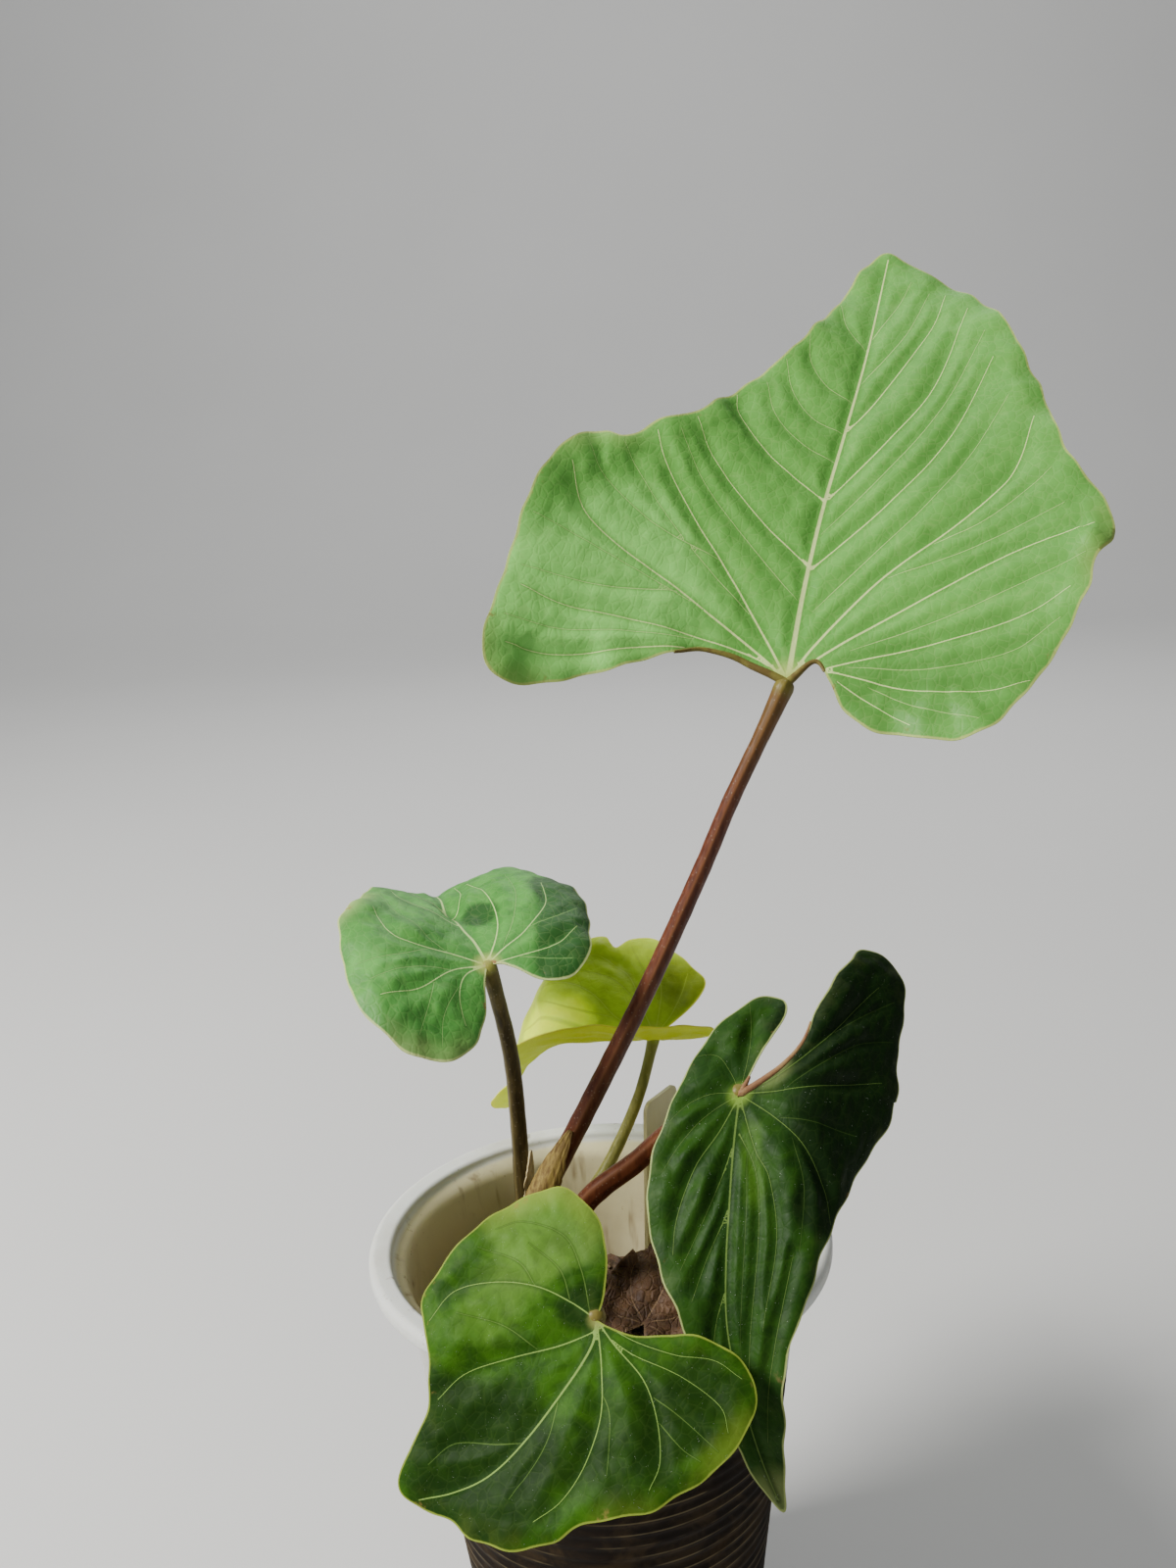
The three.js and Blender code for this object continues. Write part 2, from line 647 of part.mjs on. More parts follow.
// A solid for joining and cutting, made from a closed geometry.
function solid(geometry) {
  const bare = geometry.clone();
  for (const name of ['normal', 'uv']) bare.deleteAttribute(name);
  const merged = BufferGeometryUtils.mergeVertices(bare, 1e-4);
  const index = merged.index.array;
  const kept = [];
  for (let i = 0; i < index.length; i += 3) {
    const face = [index[i], index[i + 1], index[i + 2]];
    if (new Set(face).size === 3) kept.push(...face);
  }
  return new wasm.Manifold(new wasm.Mesh({
    numProp: 3,
    vertProperties: new Float32Array(merged.attributes.position.array),
    triVerts: new Uint32Array(kept),
  }));
}

function geometryOf(body) {
  const mesh = body.getMesh();
  const geometry = new THREE.BufferGeometry();
  geometry.setAttribute('position', new THREE.Float32BufferAttribute(mesh.vertProperties, 3));
  geometry.setIndex(Array.from(mesh.triVerts));
  geometry.computeVertexNormals();
  return geometry;
}

const group = new THREE.Group();
group.name = 'potted_kunayala_glow_anthurium';

function addPiece(name, body, color, roughness) {
  const material = new THREE.MeshStandardMaterial({ color, roughness, metalness: 0 });
  material.name = `${name}_material`;
  const mesh = new THREE.Mesh(geometryOf(body), material);
  mesh.name = name;
  group.add(mesh);
}

// Yellow-green swelling where a stalk meets its blade. It is one growth with the blade.
function knobSolid(leaf, grow) {
  const { tip, normal } = leaf.frame;
  const centre = vector(leaf.origin).addScaledVector(normal, 0.5 - leaf.knob).addScaledVector(tip, -0.3);
  const ball = new THREE.SphereGeometry(leaf.knob + grow, 10, 6);
  return solid(ball.translate(centre.x, centre.y, centre.z));
}

const crown = solid(crownGeometry(0));
const crownClear = solid(crownGeometry(GAP));
const tag = solid(tagGeometry(0));
const tagClear = solid(tagGeometry(GAP));
const mixWhole = solid(mixGeometry());

// The pot's seam is turned a little off the x axis.
const pot = new THREE.LatheGeometry(potProfile(), POT_SIDES, POT_TURN).rotateX(Math.PI / 2);
addPiece('pot', solid(pot), '#d9d7cd', 0.42);
addPiece('potting_mix', mixWhole.subtract(crownClear).subtract(tagClear), '#3a2a1d', 0.95);
addPiece('stem', crown, '#77703a', 0.7);

const BLADE_LOOKS = {
  large: ['#8fb173', 0.45],
  left: ['#8db98c', 0.45],
  young: ['#b3c63f', 0.4],
  right: ['#3f6d21', 0.42],
  front: ['#4b7a24', 0.36],
};
const STALK_LOOKS = {
  large: ['#7c4a33', 0.45],
  left: ['#6d5c36', 0.5],
  young: ['#9aa058', 0.45],
  right: ['#7a3f2c', 0.45],
  front: ['#75462f', 0.45],
};
for (const name of Object.keys(LEAVES)) {
  const leaf = LEAVES[name];
  const stalk = STALKS[name];
  const sheet = solid(bladeGeometry(leaf, BLADE_THICKNESS));
  addPiece(`blade_${name}`, sheet.add(knobSolid(leaf, 0)), ...BLADE_LOOKS[name]);
  const radiusAt = (t) => stalk.radii[0] + (stalk.radii[1] - stalk.radii[0]) * t;
  const rod = solid(rodGeometry(stalk.points, radiusAt, STALK_SEGMENTS, STALK_SIDES, STALK_FLAT));
  const bladeClear = solid(bladeGeometry(leaf, BLADE_THICKNESS + 2 * GAP));
  const trimmed = rod.subtract(crownClear).subtract(knobSolid(leaf, GAP)).subtract(bladeClear);
  const pieces = trimmed.decompose().sort((a, b) => b.volume() - a.volume());
  addPiece(`petiole_${name}`, pieces[0], ...STALK_LOOKS[name]);
}

const SHEATH_LOOKS = {
  large: ['#b39a5e', 0.7],
  left: ['#cbbf96', 0.65],
};
for (const name of Object.keys(SHEATHS)) {
  const wrap = solid(sheathGeometry(STALKS[name], SHEATHS[name])).subtract(crownClear);
  addPiece(`cataphyll_${name}`, wrap, ...SHEATH_LOOKS[name]);
}

const dry = solid(bladeGeometry(DRY_LEAF, BLADE_THICKNESS));
const mixBelow = mixWhole.translate([0, 0, GAP]);
addPiece('dry_leaf', dry.subtract(mixBelow).subtract(tagClear), '#5c4029', 0.85);
addPiece('plant_label', tag, '#e4e0d4', 0.5);

export default group;
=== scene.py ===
# Potted kunayala glow anthurium: five heart-shaped leaves on slender stalks in a milky plastic cup.
# Metres in Blender; the sizes in this file are millimetres, turned into metres where a mesh is made.
import math

import bpy
import numpy as np
from mathutils import Matrix, Vector
from mathutils.geometry import delaunay_2d_cdt


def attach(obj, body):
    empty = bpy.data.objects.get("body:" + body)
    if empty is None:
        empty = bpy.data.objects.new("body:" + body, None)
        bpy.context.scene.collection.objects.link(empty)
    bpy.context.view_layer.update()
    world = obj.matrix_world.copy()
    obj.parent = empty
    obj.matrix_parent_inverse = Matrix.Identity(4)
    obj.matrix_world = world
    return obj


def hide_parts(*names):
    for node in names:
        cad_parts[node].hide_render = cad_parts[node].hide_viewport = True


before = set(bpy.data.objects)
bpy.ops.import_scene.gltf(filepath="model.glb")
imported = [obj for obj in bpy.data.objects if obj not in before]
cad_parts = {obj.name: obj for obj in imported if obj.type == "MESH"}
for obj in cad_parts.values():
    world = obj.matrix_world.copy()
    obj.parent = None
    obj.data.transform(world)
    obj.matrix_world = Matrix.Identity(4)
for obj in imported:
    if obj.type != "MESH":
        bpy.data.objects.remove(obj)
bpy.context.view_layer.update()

# The cup. A thin tapered pot of milky polypropylene, formed over a mould in one piece, with fine rings
# round its wall and a flat rolled lip. The dark mix inside shows through the wall as a brown shade, and
# below the mix the wall is painted near black, which also paints the shade that the leaves cast there. The
# inner wall has a darker olive copy of the plastic, painted shade inside the cup.
CUP_HEIGHT = 118.0
CUP_FOOT = 31.5
CUP_NECK = 45.5
CUP_RIM = 52.5
CUP_LIP_INNER = 47.4
CUP_LIP_DEPTH = 4.0
CUP_WALL = 1.4
CUP_FLOOR = 2.0
CUP_FLOOR_RADIUS = 28.0
CUP_SIDES = 192
RING_FIRST, RING_PITCH, RING_COUNT, RING_DEPTH = 12.0, 3.2, 23, 0.4
RING_STEPS = 6
INNER_START = 8
MIX_LEVEL = 86.0
MILKY = (0.67, 0.685, 0.65, 1)
MILKY_SHADED = (0.60, 0.54, 0.30, 1)
MIX_THROUGH_SHADED = (0.007, 0.0035, 0.0015, 1)
MIX_THROUGH_PALE = (0.03, 0.018, 0.007, 1)
RING_TAN = (0.30, 0.24, 0.12, 1)
STAIN_TAN = (0.33, 0.27, 0.16, 1)
GRIME_TAN = (0.30, 0.24, 0.11, 1)
STREAK_BROWN = (0.16, 0.09, 0.04, 1)
SPECK_BROWN = (0.10, 0.06, 0.03, 1)
SOIL_BROWN = (0.15, 0.095, 0.045, 1)


def to_mesh(name, points, faces, smooth_angle=40):
    """A mesh object from points in millimetres. Edges that bend by more than smooth_angle stay sharp."""
    mesh = bpy.data.meshes.new(name)
    faces = faces if isinstance(faces, list) else faces.tolist()
    mesh.from_pydata((np.asarray(points, float) / 1000).tolist(), [], faces)
    mesh.update()
    mesh.shade_smooth()
    mesh.set_sharp_from_angle(angle=math.radians(smooth_angle))
    piece = bpy.data.objects.new(name, mesh)
    bpy.context.scene.collection.objects.link(piece)
    return piece


def keep_values(piece, **kept):
    """Keeps one number for each point under each given name, for the piece's material to read."""
    for name, values in kept.items():
        attribute = piece.data.attributes.new(name, "FLOAT", "POINT")
        attribute.data.foreach_set("value", values.astype(np.float32))


def grid_faces(rows, columns, closed=False):
    """Four-sided faces of a grid of points numbered row by row. In a closed grid each row runs on from its
    last point to its first."""
    i, j = np.meshgrid(np.arange(rows - 1), np.arange(columns - (not closed)), indexing="ij")
    i, j = i.ravel(), j.ravel()
    below, above = i * columns, (i + 1) * columns
    beside = (j + 1) % columns
    return np.stack([below + j, below + beside, above + beside, above + j], axis=1)


def tube_faces(rows, sides):
    """Faces of a closed tube of rings: its wall, and a fan at each end to a tip. The tips are numbered after
    all the rings."""
    j = np.arange(sides)
    beside = (j + 1) % sides
    last = (rows - 1) * sides
    start = np.stack([np.full(sides, rows * sides), beside, j], axis=1)
    end = np.stack([last + j, last + beside, np.full(sides, rows * sides + 1)], axis=1)
    return grid_faces(rows, sides, closed=True).tolist() + start.tolist() + end.tolist()


def turned(name, profile, sides):
    """A profile of (radius, height) pairs, from the axis round and back to it, turned about the z axis:
    x = radius cos a, y = radius sin a, z = height, with a single point at each pole."""
    radius, height = np.array(profile, float).T
    angle = np.linspace(0, 2 * math.pi, sides, endpoint=False)
    ring = np.stack([np.outer(radius, np.cos(angle)), np.outer(radius, np.sin(angle)),
                     np.repeat(height[:, None], sides, axis=1)], axis=2)[1:-1]
    points = np.vstack([ring.reshape(-1, 3), [[0, 0, height[0]], [0, 0, height[-1]]]])
    return to_mesh(name, points, tube_faces(len(ring), sides), 50)


def cup_wall(z):
    """Radius of the outer wall at a height: a straight taper from the foot to the neck under the lip."""
    return CUP_FOOT + (CUP_NECK - CUP_FOOT) * z / (CUP_HEIGHT - CUP_LIP_DEPTH)


def arc(centre, radius, start, end, count):
    """Points on a circle's arc, from the start angle to the end angle in degrees."""
    angle = np.radians(np.linspace(start, end, count))
    return np.stack([centre[0] + radius * np.cos(angle), centre[1] + radius * np.sin(angle)], axis=1)


# The profile runs from the middle of the foot up the ringed wall, over the lip and down the smooth inner
# wall to the floor.
ring_end = RING_FIRST + RING_COUNT * RING_PITCH
wall_z = np.linspace(RING_FIRST, ring_end, RING_COUNT * RING_STEPS + 1)
ring_phase = (wall_z - RING_FIRST) / RING_PITCH
ring_groove = RING_DEPTH * np.sin(math.pi * ring_phase) ** 2
lip_foot = CUP_HEIGHT - CUP_LIP_DEPTH
cup_profile = np.vstack([
    [[0, 0]],
    arc((CUP_FOOT - 1.0, 1.0), 1.0, -90, 0, 5),
    np.stack([cup_wall(wall_z) - ring_groove, wall_z], axis=1),
    [[CUP_NECK, lip_foot - 0.4], [CUP_NECK + 0.4, lip_foot]],
    arc((CUP_RIM - 1.0, lip_foot + 1.0), 1.0, -90, 0, 5),
    arc((CUP_RIM - 1.6, CUP_HEIGHT - 1.6), 1.6, 0, 90, 7),
    [[CUP_LIP_INNER + 2.2, CUP_HEIGHT - 0.25]],
    arc((CUP_LIP_INNER + 1.2, CUP_HEIGHT - 1.5), 1.2, 90, 180, 6),
    [[CUP_LIP_INNER - 0.2, CUP_HEIGHT - 2.2], [CUP_NECK + 0.9, CUP_HEIGHT - 2.9]],
    [[CUP_NECK - 0.8, CUP_HEIGHT - 3.9]],
    [[cup_wall(z) - CUP_WALL, z] for z in (112, 105, 90, 70, 40, 20, CUP_FLOOR + 1)],
    [[CUP_FLOOR_RADIUS, CUP_FLOOR], [0, CUP_FLOOR]],
])
cup = turned("cup", cup_profile, CUP_SIDES)
# The inner face starts after the INNER_START rows that follow the lip's highest one. The value is 1 there
# and 0 everywhere else.
inner_row = (np.arange(len(cup_profile)) > cup_profile[:, 1].argmax() + INNER_START).astype(float)
keep_values(cup, inner=np.concatenate([np.repeat(inner_row[1:-1], CUP_SIDES), inner_row[[0, -1]]]))


class Nodes:
    """Short names for the node tree of one material or group. A method adds nodes and gives back the output
    of the last one. What it is given can be a plain value or the output of another node."""

    def __init__(self, tree):
        self.tree = tree

    def add(self, kind, **settings):
        node = self.tree.nodes.new(kind)
        for name, value in settings.items():
            setattr(node, name, value)
        return node

    def join(self, source, target):
        self.tree.links.new(source, target)

    def feed(self, socket, value):
        if isinstance(value, bpy.types.NodeSocket):
            self.join(value, socket)
        else:
            socket.default_value = value

    def math(self, operation, first, second=0.0, third=0.0, clamp=False):
        node = self.add("ShaderNodeMath", operation=operation, use_clamp=clamp)
        for socket, value in zip(node.inputs, (first, second, third)):
            self.feed(socket, value)
        return node.outputs[0]

    def plus(self, first, second, clamp=False):
        return self.math("ADD", first, second, clamp=clamp)

    def minus(self, first, second):
        return self.math("SUBTRACT", first, second)

    def times(self, first, second):
        return self.math("MULTIPLY", first, second)

    def ramp(self, value, low, high, from_value=0.0, to_value=1.0):
        """A smooth step: from_value below low, to_value above high."""
        node = self.add("ShaderNodeMapRange", interpolation_type="SMOOTHSTEP")
        for socket, given in zip(node.inputs, (value, low, high, from_value, to_value)):
            self.feed(socket, given)
        return node.outputs[0]

    def mix(self, factor, first, second, blend="MIX"):
        """Two colours mixed. Sockets 6 and 7 of the node are the ones that take colours."""
        node = self.add("ShaderNodeMix", data_type="RGBA", blend_type=blend)
        self.feed(node.inputs[0], factor)
        self.feed(node.inputs[6], first)
        self.feed(node.inputs[7], second)
        return node.outputs[2]

    def tint(self, colour, other, mask, amount):
        """The colour with the other one mixed in by the mask times the amount."""
        return self.mix(self.times(mask, amount), colour, other)

    def noise(self, where, scale, detail=3.0, roughness=0.55, distortion=0.0):
        node = self.add("ShaderNodeTexNoise")
        self.feed(node.inputs["Vector"], where)
        given = {"Scale": scale, "Detail": detail, "Roughness": roughness, "Distortion": distortion}
        for name, value in given.items():
            node.inputs[name].default_value = value
        return node.outputs[0]

    def drift(self, where, scale, detail, reach):
        """Noise about nought that spans the reach: the noise less a half, times the reach."""
        return self.times(self.minus(self.noise(where, scale, detail), 0.5), reach)

    def cells(self, where, scale, feature="F1", jitter=1.0):
        node = self.add("ShaderNodeTexVoronoi", feature=feature)
        self.feed(node.inputs["Vector"], where)
        node.inputs["Scale"].default_value = scale
        node.inputs["Randomness"].default_value = jitter
        return node.outputs["Distance"]

    def stretched(self, where, scale):
        node = self.add("ShaderNodeMapping")
        self.feed(node.inputs["Vector"], where)
        node.inputs["Scale"].default_value = scale
        return node.outputs[0]

    def object_place(self):
        return self.add("ShaderNodeTexCoord").outputs["Object"]

    def value_of(self, name):
        return self.add("ShaderNodeAttribute", attribute_name=name).outputs["Fac"]

    def dress(self, shader, colour, roughness, height, strength, distance):
        """Joins a colour and a roughness to the shader, and a height as fine relief of the given strength."""
        relief = self.add("ShaderNodeBump")
        relief.inputs["Strength"].default_value = strength
        relief.inputs["Distance"].default_value = distance
        self.join(height, relief.inputs["Height"])
        self.join(colour, shader.inputs["Base Color"])
        self.join(roughness, shader.inputs["Roughness"])
        self.join(relief.outputs[0], shader.inputs["Normal"])


def new_material(name, **finish):
    """A material with one shader, and the sockets that are the same all over set on it directly."""
    material = bpy.data.materials.new(name)
    material.use_nodes = True
    shader = material.node_tree.nodes["Principled BSDF"]
    for socket, value in finish.items():
        shader.inputs[socket.replace("_", " ")].default_value = value
    return material, shader, Nodes(material.node_tree)


def finish_piece(piece, material, slot, *nodes):
    """Dresses a piece with its material, hangs it under the root body and hides the model's parts that it
    stands for.
    """
    piece.data.materials.clear()
    piece.data.materials.append(material)
    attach(piece, "root")
    if nodes:
        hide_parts(*nodes)


cup_plastic, shader, n = new_material(
    "milky_plastic", IOR=1.49, Specular_IOR_Level=0.1, Subsurface_Weight=0.12,
    Subsurface_Radius=(1.0, 0.85, 0.5), Subsurface_Scale=0.003)
place = n.object_place()
split = n.add("ShaderNodeSeparateXYZ")
n.join(place, split.inputs[0])
height = split.outputs[2]
inside = n.value_of("inner")
surface = n.plus(height, n.drift(place, 60, 4, 0.012))
below_mix = n.ramp(surface, (MIX_LEVEL + 2) / 1000, (MIX_LEVEL - 3) / 1000)
chunks = n.ramp(n.noise(n.stretched(place, (1, 1, 1.6)), 85, 5, 0.65, 0.6), 0.42, 0.66)
seen_through = n.mix(chunks, MIX_THROUGH_SHADED, MIX_THROUGH_PALE)
ring_wave = n.math("SINE", n.math("MULTIPLY_ADD", height, 2000 * math.pi / RING_PITCH,
                                  math.pi / 2 - 2 * math.pi * RING_FIRST / RING_PITCH))
broken = n.ramp(n.noise(n.stretched(place, (1, 1, 3)), 45, 3), 0.44, 0.60)
ring_lines = n.times(n.ramp(ring_wave, 0.86, 0.99), broken)
seen_through = n.tint(seen_through, RING_TAN, ring_lines, 0.3)
stain = n.ramp(n.noise(place, 38, 5, 0.6, 0.4), 0.45, 0.75)
specks = n.ramp(n.noise(place, 900, 2), 0.70, 0.76)
soil = n.ramp(n.noise(place, 190, 4, 0.6), 0.62, 0.70)
soil = n.times(soil, n.ramp(n.noise(place, 34, 2), 0.46, 0.58))
grime = n.times(n.ramp(height, 0.113, 0.088), n.ramp(n.noise(place, 30, 4), 0.25, 0.6))
streaks = n.ramp(n.noise(n.stretched(place, (1, 1, 0.12)), 110, 4, 0.6), 0.54, 0.66)
streaks = n.times(streaks, n.ramp(n.noise(place, 45, 3), 0.44, 0.58))
# Painted shade: the inner wall takes a darker, olive copy of the milky plastic.
plastic = n.tint(MILKY, MILKY_SHADED, inside, 0.85)
plastic = n.tint(plastic, STAIN_TAN, stain, 0.35)
plastic = n.tint(plastic, GRIME_TAN, n.times(grime, inside), 0.4)
plastic = n.tint(plastic, STREAK_BROWN, n.times(streaks, inside), 0.75)
plastic = n.tint(plastic, SPECK_BROWN, specks, 0.55)
plastic = n.tint(plastic, SOIL_BROWN, soil, 0.6)
# Painted shade: below the mix the outer wall takes the near-black colour of the mix seen through it, dark
# enough to stand also for the shade of the leaves above.
through = n.times(n.times(below_mix, n.minus(1.0, inside)), 0.995)
rough = n.plus(0.42, n.times(n.plus(stain, through), 0.25))
grain = n.plus(n.noise(place, 260, 4), n.times(specks, 0.8))
n.dress(shader, n.mix(through, plastic, seen_through), rough, grain, 0.12, 0.001)
finish_piece(cup, cup_plastic, "pot_plastic", "pot")

# The potting mix. Coarse bark and peat filled in loose to about 32 mm under the rim. A soft rolling bed
# carries flakes of bark and crumbs of peat that lie on it at every angle.
FLAKE_COUNT = 620
CRUMB_COUNT = 900
BED_RINGS, BED_SIDES = 46, 120
CROWN_PLACE = (-14.3, 12.2)
BARK_DARK = (0.022, 0.012, 0.007, 1)
BARK_MID = (0.085, 0.046, 0.024, 1)
BARK_PALE = (0.21, 0.135, 0.075, 1)
PEAT_DUST = (0.045, 0.03, 0.02, 1)


def bed_height(x, y):
    """The rolling top of the mix: the level plus two slow waves and one fine one."""
    slow = 0.7 * np.sin(x * 0.31 + 1) * np.cos(y * 0.27)
    slow = slow + 0.6 * np.sin(x * 0.83 + y * 0.55) * np.cos(y * 0.71 - x * 0.22)
    fine = 0.35 * np.sin(x * 1.9 + 2 * np.sin(y * 0.9)) * np.sin(y * 1.7 + 1.3)
    return MIX_LEVEL + 1.3 * slow + fine


bed_radius = cup_wall(MIX_LEVEL) - CUP_WALL - 0.5
ring = np.linspace(bed_radius, 0, BED_RINGS, endpoint=False)
angle = np.linspace(0, 2 * math.pi, BED_SIDES, endpoint=False)
bed_x, bed_y = np.outer(ring, np.cos(angle)), np.outer(ring, np.sin(angle))
foot_rings = [(CUP_FLOOR_RADIUS, CUP_FLOOR + 0.3), (cup_wall(4) - CUP_WALL - 0.7, 4.0)]
points = [np.stack([r * np.cos(angle), r * np.sin(angle), np.full(BED_SIDES, z)], axis=1)
          for r, z in foot_rings]
points.append(np.stack([bed_x, bed_y, bed_height(bed_x, bed_y)], axis=2).reshape(-1, 3))
points.append([[0, 0, CUP_FLOOR + 0.3], [0, 0, float(bed_height(0.0, 0.0))]])
mix_bed = to_mesh("mix_bed", np.vstack(points), tube_faces(BED_RINGS + len(foot_rings), BED_SIDES), 60)

# The loose pieces on the bed. A bark flake or a peat crumb is a small low lump: two rings of corners pushed
# in and out by chance, with a tip above and one below.
rng = np.random.default_rng(41)


def turns(axis, angle):
    """One rotation for each angle about the numbered axis. Its cosine stands at the two other axes, and its
    sine, once plus and once minus, between them."""
    one, two = (axis + 1) % 3, (axis + 2) % 3
    matrix = np.zeros((3, 3, len(angle)))
    matrix[axis, axis] = 1
    matrix[one, one] = matrix[two, two] = np.cos(angle)
    matrix[two, one] = np.sin(angle)
    matrix[one, two] = -np.sin(angle)
    return matrix


def scattered_lumps(name, count, size_range, flatness, sides, keep_clear):
    """Irregular lumps lying on the bed. Each is two rings of corners at chance radii with a point above and
    one below. It is turned by a chance rotation, and its middle stands a tenth of its size above a chance
    place on the bed."""
    reach = np.sqrt(rng.uniform(0, 1, count)) * (bed_radius - 3)
    turn = rng.uniform(0, 2 * math.pi, count)
    centre = np.stack([reach * np.cos(turn), reach * np.sin(turn)], axis=1)
    clear = np.hypot(centre[:, 0] - CROWN_PLACE[0], centre[:, 1] - CROWN_PLACE[1]) > keep_clear
    centre = centre[clear]
    count = len(centre)
    size = rng.uniform(*size_range, count)
    corner = np.linspace(0, 2 * math.pi, sides, endpoint=False)
    spread = rng.uniform(0.65, 1.15, (count, sides))
    long_side = rng.uniform(1.0, 1.9, count)[:, None]
    lump = np.zeros((count, 2 * sides + 2, 3))
    for layer, rise in ((0, -0.45), (1, 0.45)):
        at = slice(layer * sides, (layer + 1) * sides)
        wobble = rng.uniform(0.85, 1.1, (count, sides))
        lump[:, at, 0] = spread * wobble * np.cos(corner) * long_side
        lump[:, at, 1] = spread * wobble * np.sin(corner)
        lump[:, at, 2] = flatness * (rise + rng.uniform(-0.25, 0.25, (count, sides)))
    lump[:, 2 * sides, 2] = -flatness
    lump[:, 2 * sides + 1, 2] = flatness
    lump *= size[:, None, None]
    spin = rng.uniform(0, 2 * math.pi, count)
    tilt = rng.normal(0, 0.35, count)
    lean = rng.normal(0, 0.35, count)
    lump = np.einsum("ijc,jkc,klc,cpl->cpi", turns(0, tilt), turns(1, lean), turns(2, spin), lump)
    base = bed_height(centre[:, 0], centre[:, 1]) + 0.1 * size
    lump += np.stack([centre[:, 0], centre[:, 1], base], axis=1)[:, None, :]
    j = np.arange(sides)
    k = (j + 1) % sides
    one_lump = np.vstack([np.stack([j, k, k + sides], 1), np.stack([j, k + sides, j + sides], 1),
                          np.stack([k, j, np.full(sides, 2 * sides)], 1),
                          np.stack([j + sides, k + sides, np.full(sides, 2 * sides + 1)], 1)])
    faces = (one_lump[None] + (np.arange(count) * (2 * sides + 2))[:, None, None]).reshape(-1, 3)
    return to_mesh(name, lump.reshape(-1, 3), faces, 30)


bark_flakes = scattered_lumps("bark_flakes", FLAKE_COUNT, (1.1, 3.2), 0.42, 8, 10.5)
peat_crumbs = scattered_lumps("peat_crumbs", CRUMB_COUNT, (0.4, 1.1), 0.8, 5, 10.0)

bark, shader, n = new_material("bark_and_peat", IOR=1.45)
place = n.object_place()
grain = n.noise(n.stretched(place, (1, 1, 2.2)), 420, 6, 0.65)
tone = n.mix(n.ramp(n.noise(place, 95, 3), 0.38, 0.62), BARK_DARK, BARK_MID)
tone = n.tint(tone, BARK_PALE, n.ramp(n.noise(place, 150, 2), 0.56, 0.7), 0.8)
tone = n.tint(tone, PEAT_DUST, n.ramp(grain, 0.4, 0.7), 0.45)
rough = n.plus(0.72, n.times(grain, 0.25))
n.dress(shader, tone, rough, n.plus(grain, n.noise(place, 1300, 3)), 0.6, 0.0008)
finish_piece(mix_bed, bark, "potting_mix", "potting_mix")
finish_piece(bark_flakes, bark, "potting_mix")
finish_piece(peat_crumbs, bark, "potting_mix")

# The stem. A squat woody crown that stands in the mix, ringed by the scars of fallen leaves. All the
# leaf stalks rise from it. It is olive brown and furrowed.
STEM_FOOT, STEM_TOP, STEM_RADIUS = 70.0, 105.0, 9.5
STEM_STEP, STEM_SIDES = 0.7, 72
STEM_SHAPE = [(0, 0), (0.5, 0), (0.72, 0.12), (0.98, 0.3), (0.88, 0.42), (1, 0.52), (0.9, 0.62), (0.98, 0.74),
              (0.88, 0.88), (0.55, 0.97), (0, 1)]
STEM_OLIVE = (0.125, 0.105, 0.035, 1)
STEM_BROWN = (0.075, 0.042, 0.02, 1)
SCAR_TAN = (0.30, 0.24, 0.12, 1)


def path_reach(path):
    """Distance along the path to each of its points."""
    return np.concatenate([[0], np.cumsum(np.linalg.norm(np.diff(path, axis=0), axis=1))])


def rows_at(where, marks, rows):
    """Rows between the given ones, each of which stands at its mark. Every column is interpolated alone."""
    return np.stack([np.interp(where, marks, column) for column in rows.T], axis=1)


def smooth_path(points, step):
    """Points an even step apart on a curve through the given ones. On each span the curve is the cubic whose
    slope at either end is half the chord between the neighbouring points."""
    p = np.asarray(points, float)
    p = np.vstack([2 * p[0] - p[1], p, 2 * p[-1] - p[-2]])
    t = np.linspace(0, 1, 24, endpoint=False)[None, :, None]
    a, b, c, d = p[:-3, None], p[1:-2, None], p[2:-1, None], p[3:, None]
    fine = b + 0.5 * (t * (c - a) + t ** 2 * (2 * a - 5 * b + 4 * c - d) + t ** 3 * (3 * b - a - 3 * c + d))
    fine = np.vstack([fine.reshape(-1, p.shape[1]), p[-2:-1]])
    reach = path_reach(fine)
    even = np.linspace(0, reach[-1], max(2, round(reach[-1] / step)) + 1)
    return rows_at(even, reach, fine)


stem_points = [(r * STEM_RADIUS, STEM_FOOT + h * (STEM_TOP - STEM_FOOT)) for r, h in STEM_SHAPE]
stem_profile = smooth_path(stem_points, STEM_STEP)
stem_profile[0, 0] = stem_profile[-1, 0] = 0
stem = turned("stem", np.maximum(stem_profile, 0), STEM_SIDES)
stem.data.transform(Matrix.Translation((CROWN_PLACE[0] / 1000, CROWN_PLACE[1] / 1000, 0)))
stem_bark, shader, n = new_material("stem_bark", IOR=1.45)
place = n.object_place()
furrow = n.noise(n.stretched(place, (1, 1, 0.25)), 520, 5, 0.6)
rings = n.noise(n.stretched(place, (0.3, 0.3, 1)), 330, 3)
tone = n.mix(n.ramp(furrow, 0.35, 0.65), STEM_OLIVE, STEM_BROWN)
tone = n.tint(tone, SCAR_TAN, n.ramp(rings, 0.55, 0.68), 0.7)
n.dress(shader, tone, n.plus(0.55, n.times(furrow, 0.3)), n.plus(furrow, rings), 0.5, 0.0012)
finish_piece(stem, stem_bark, "stem_bark", "stem")

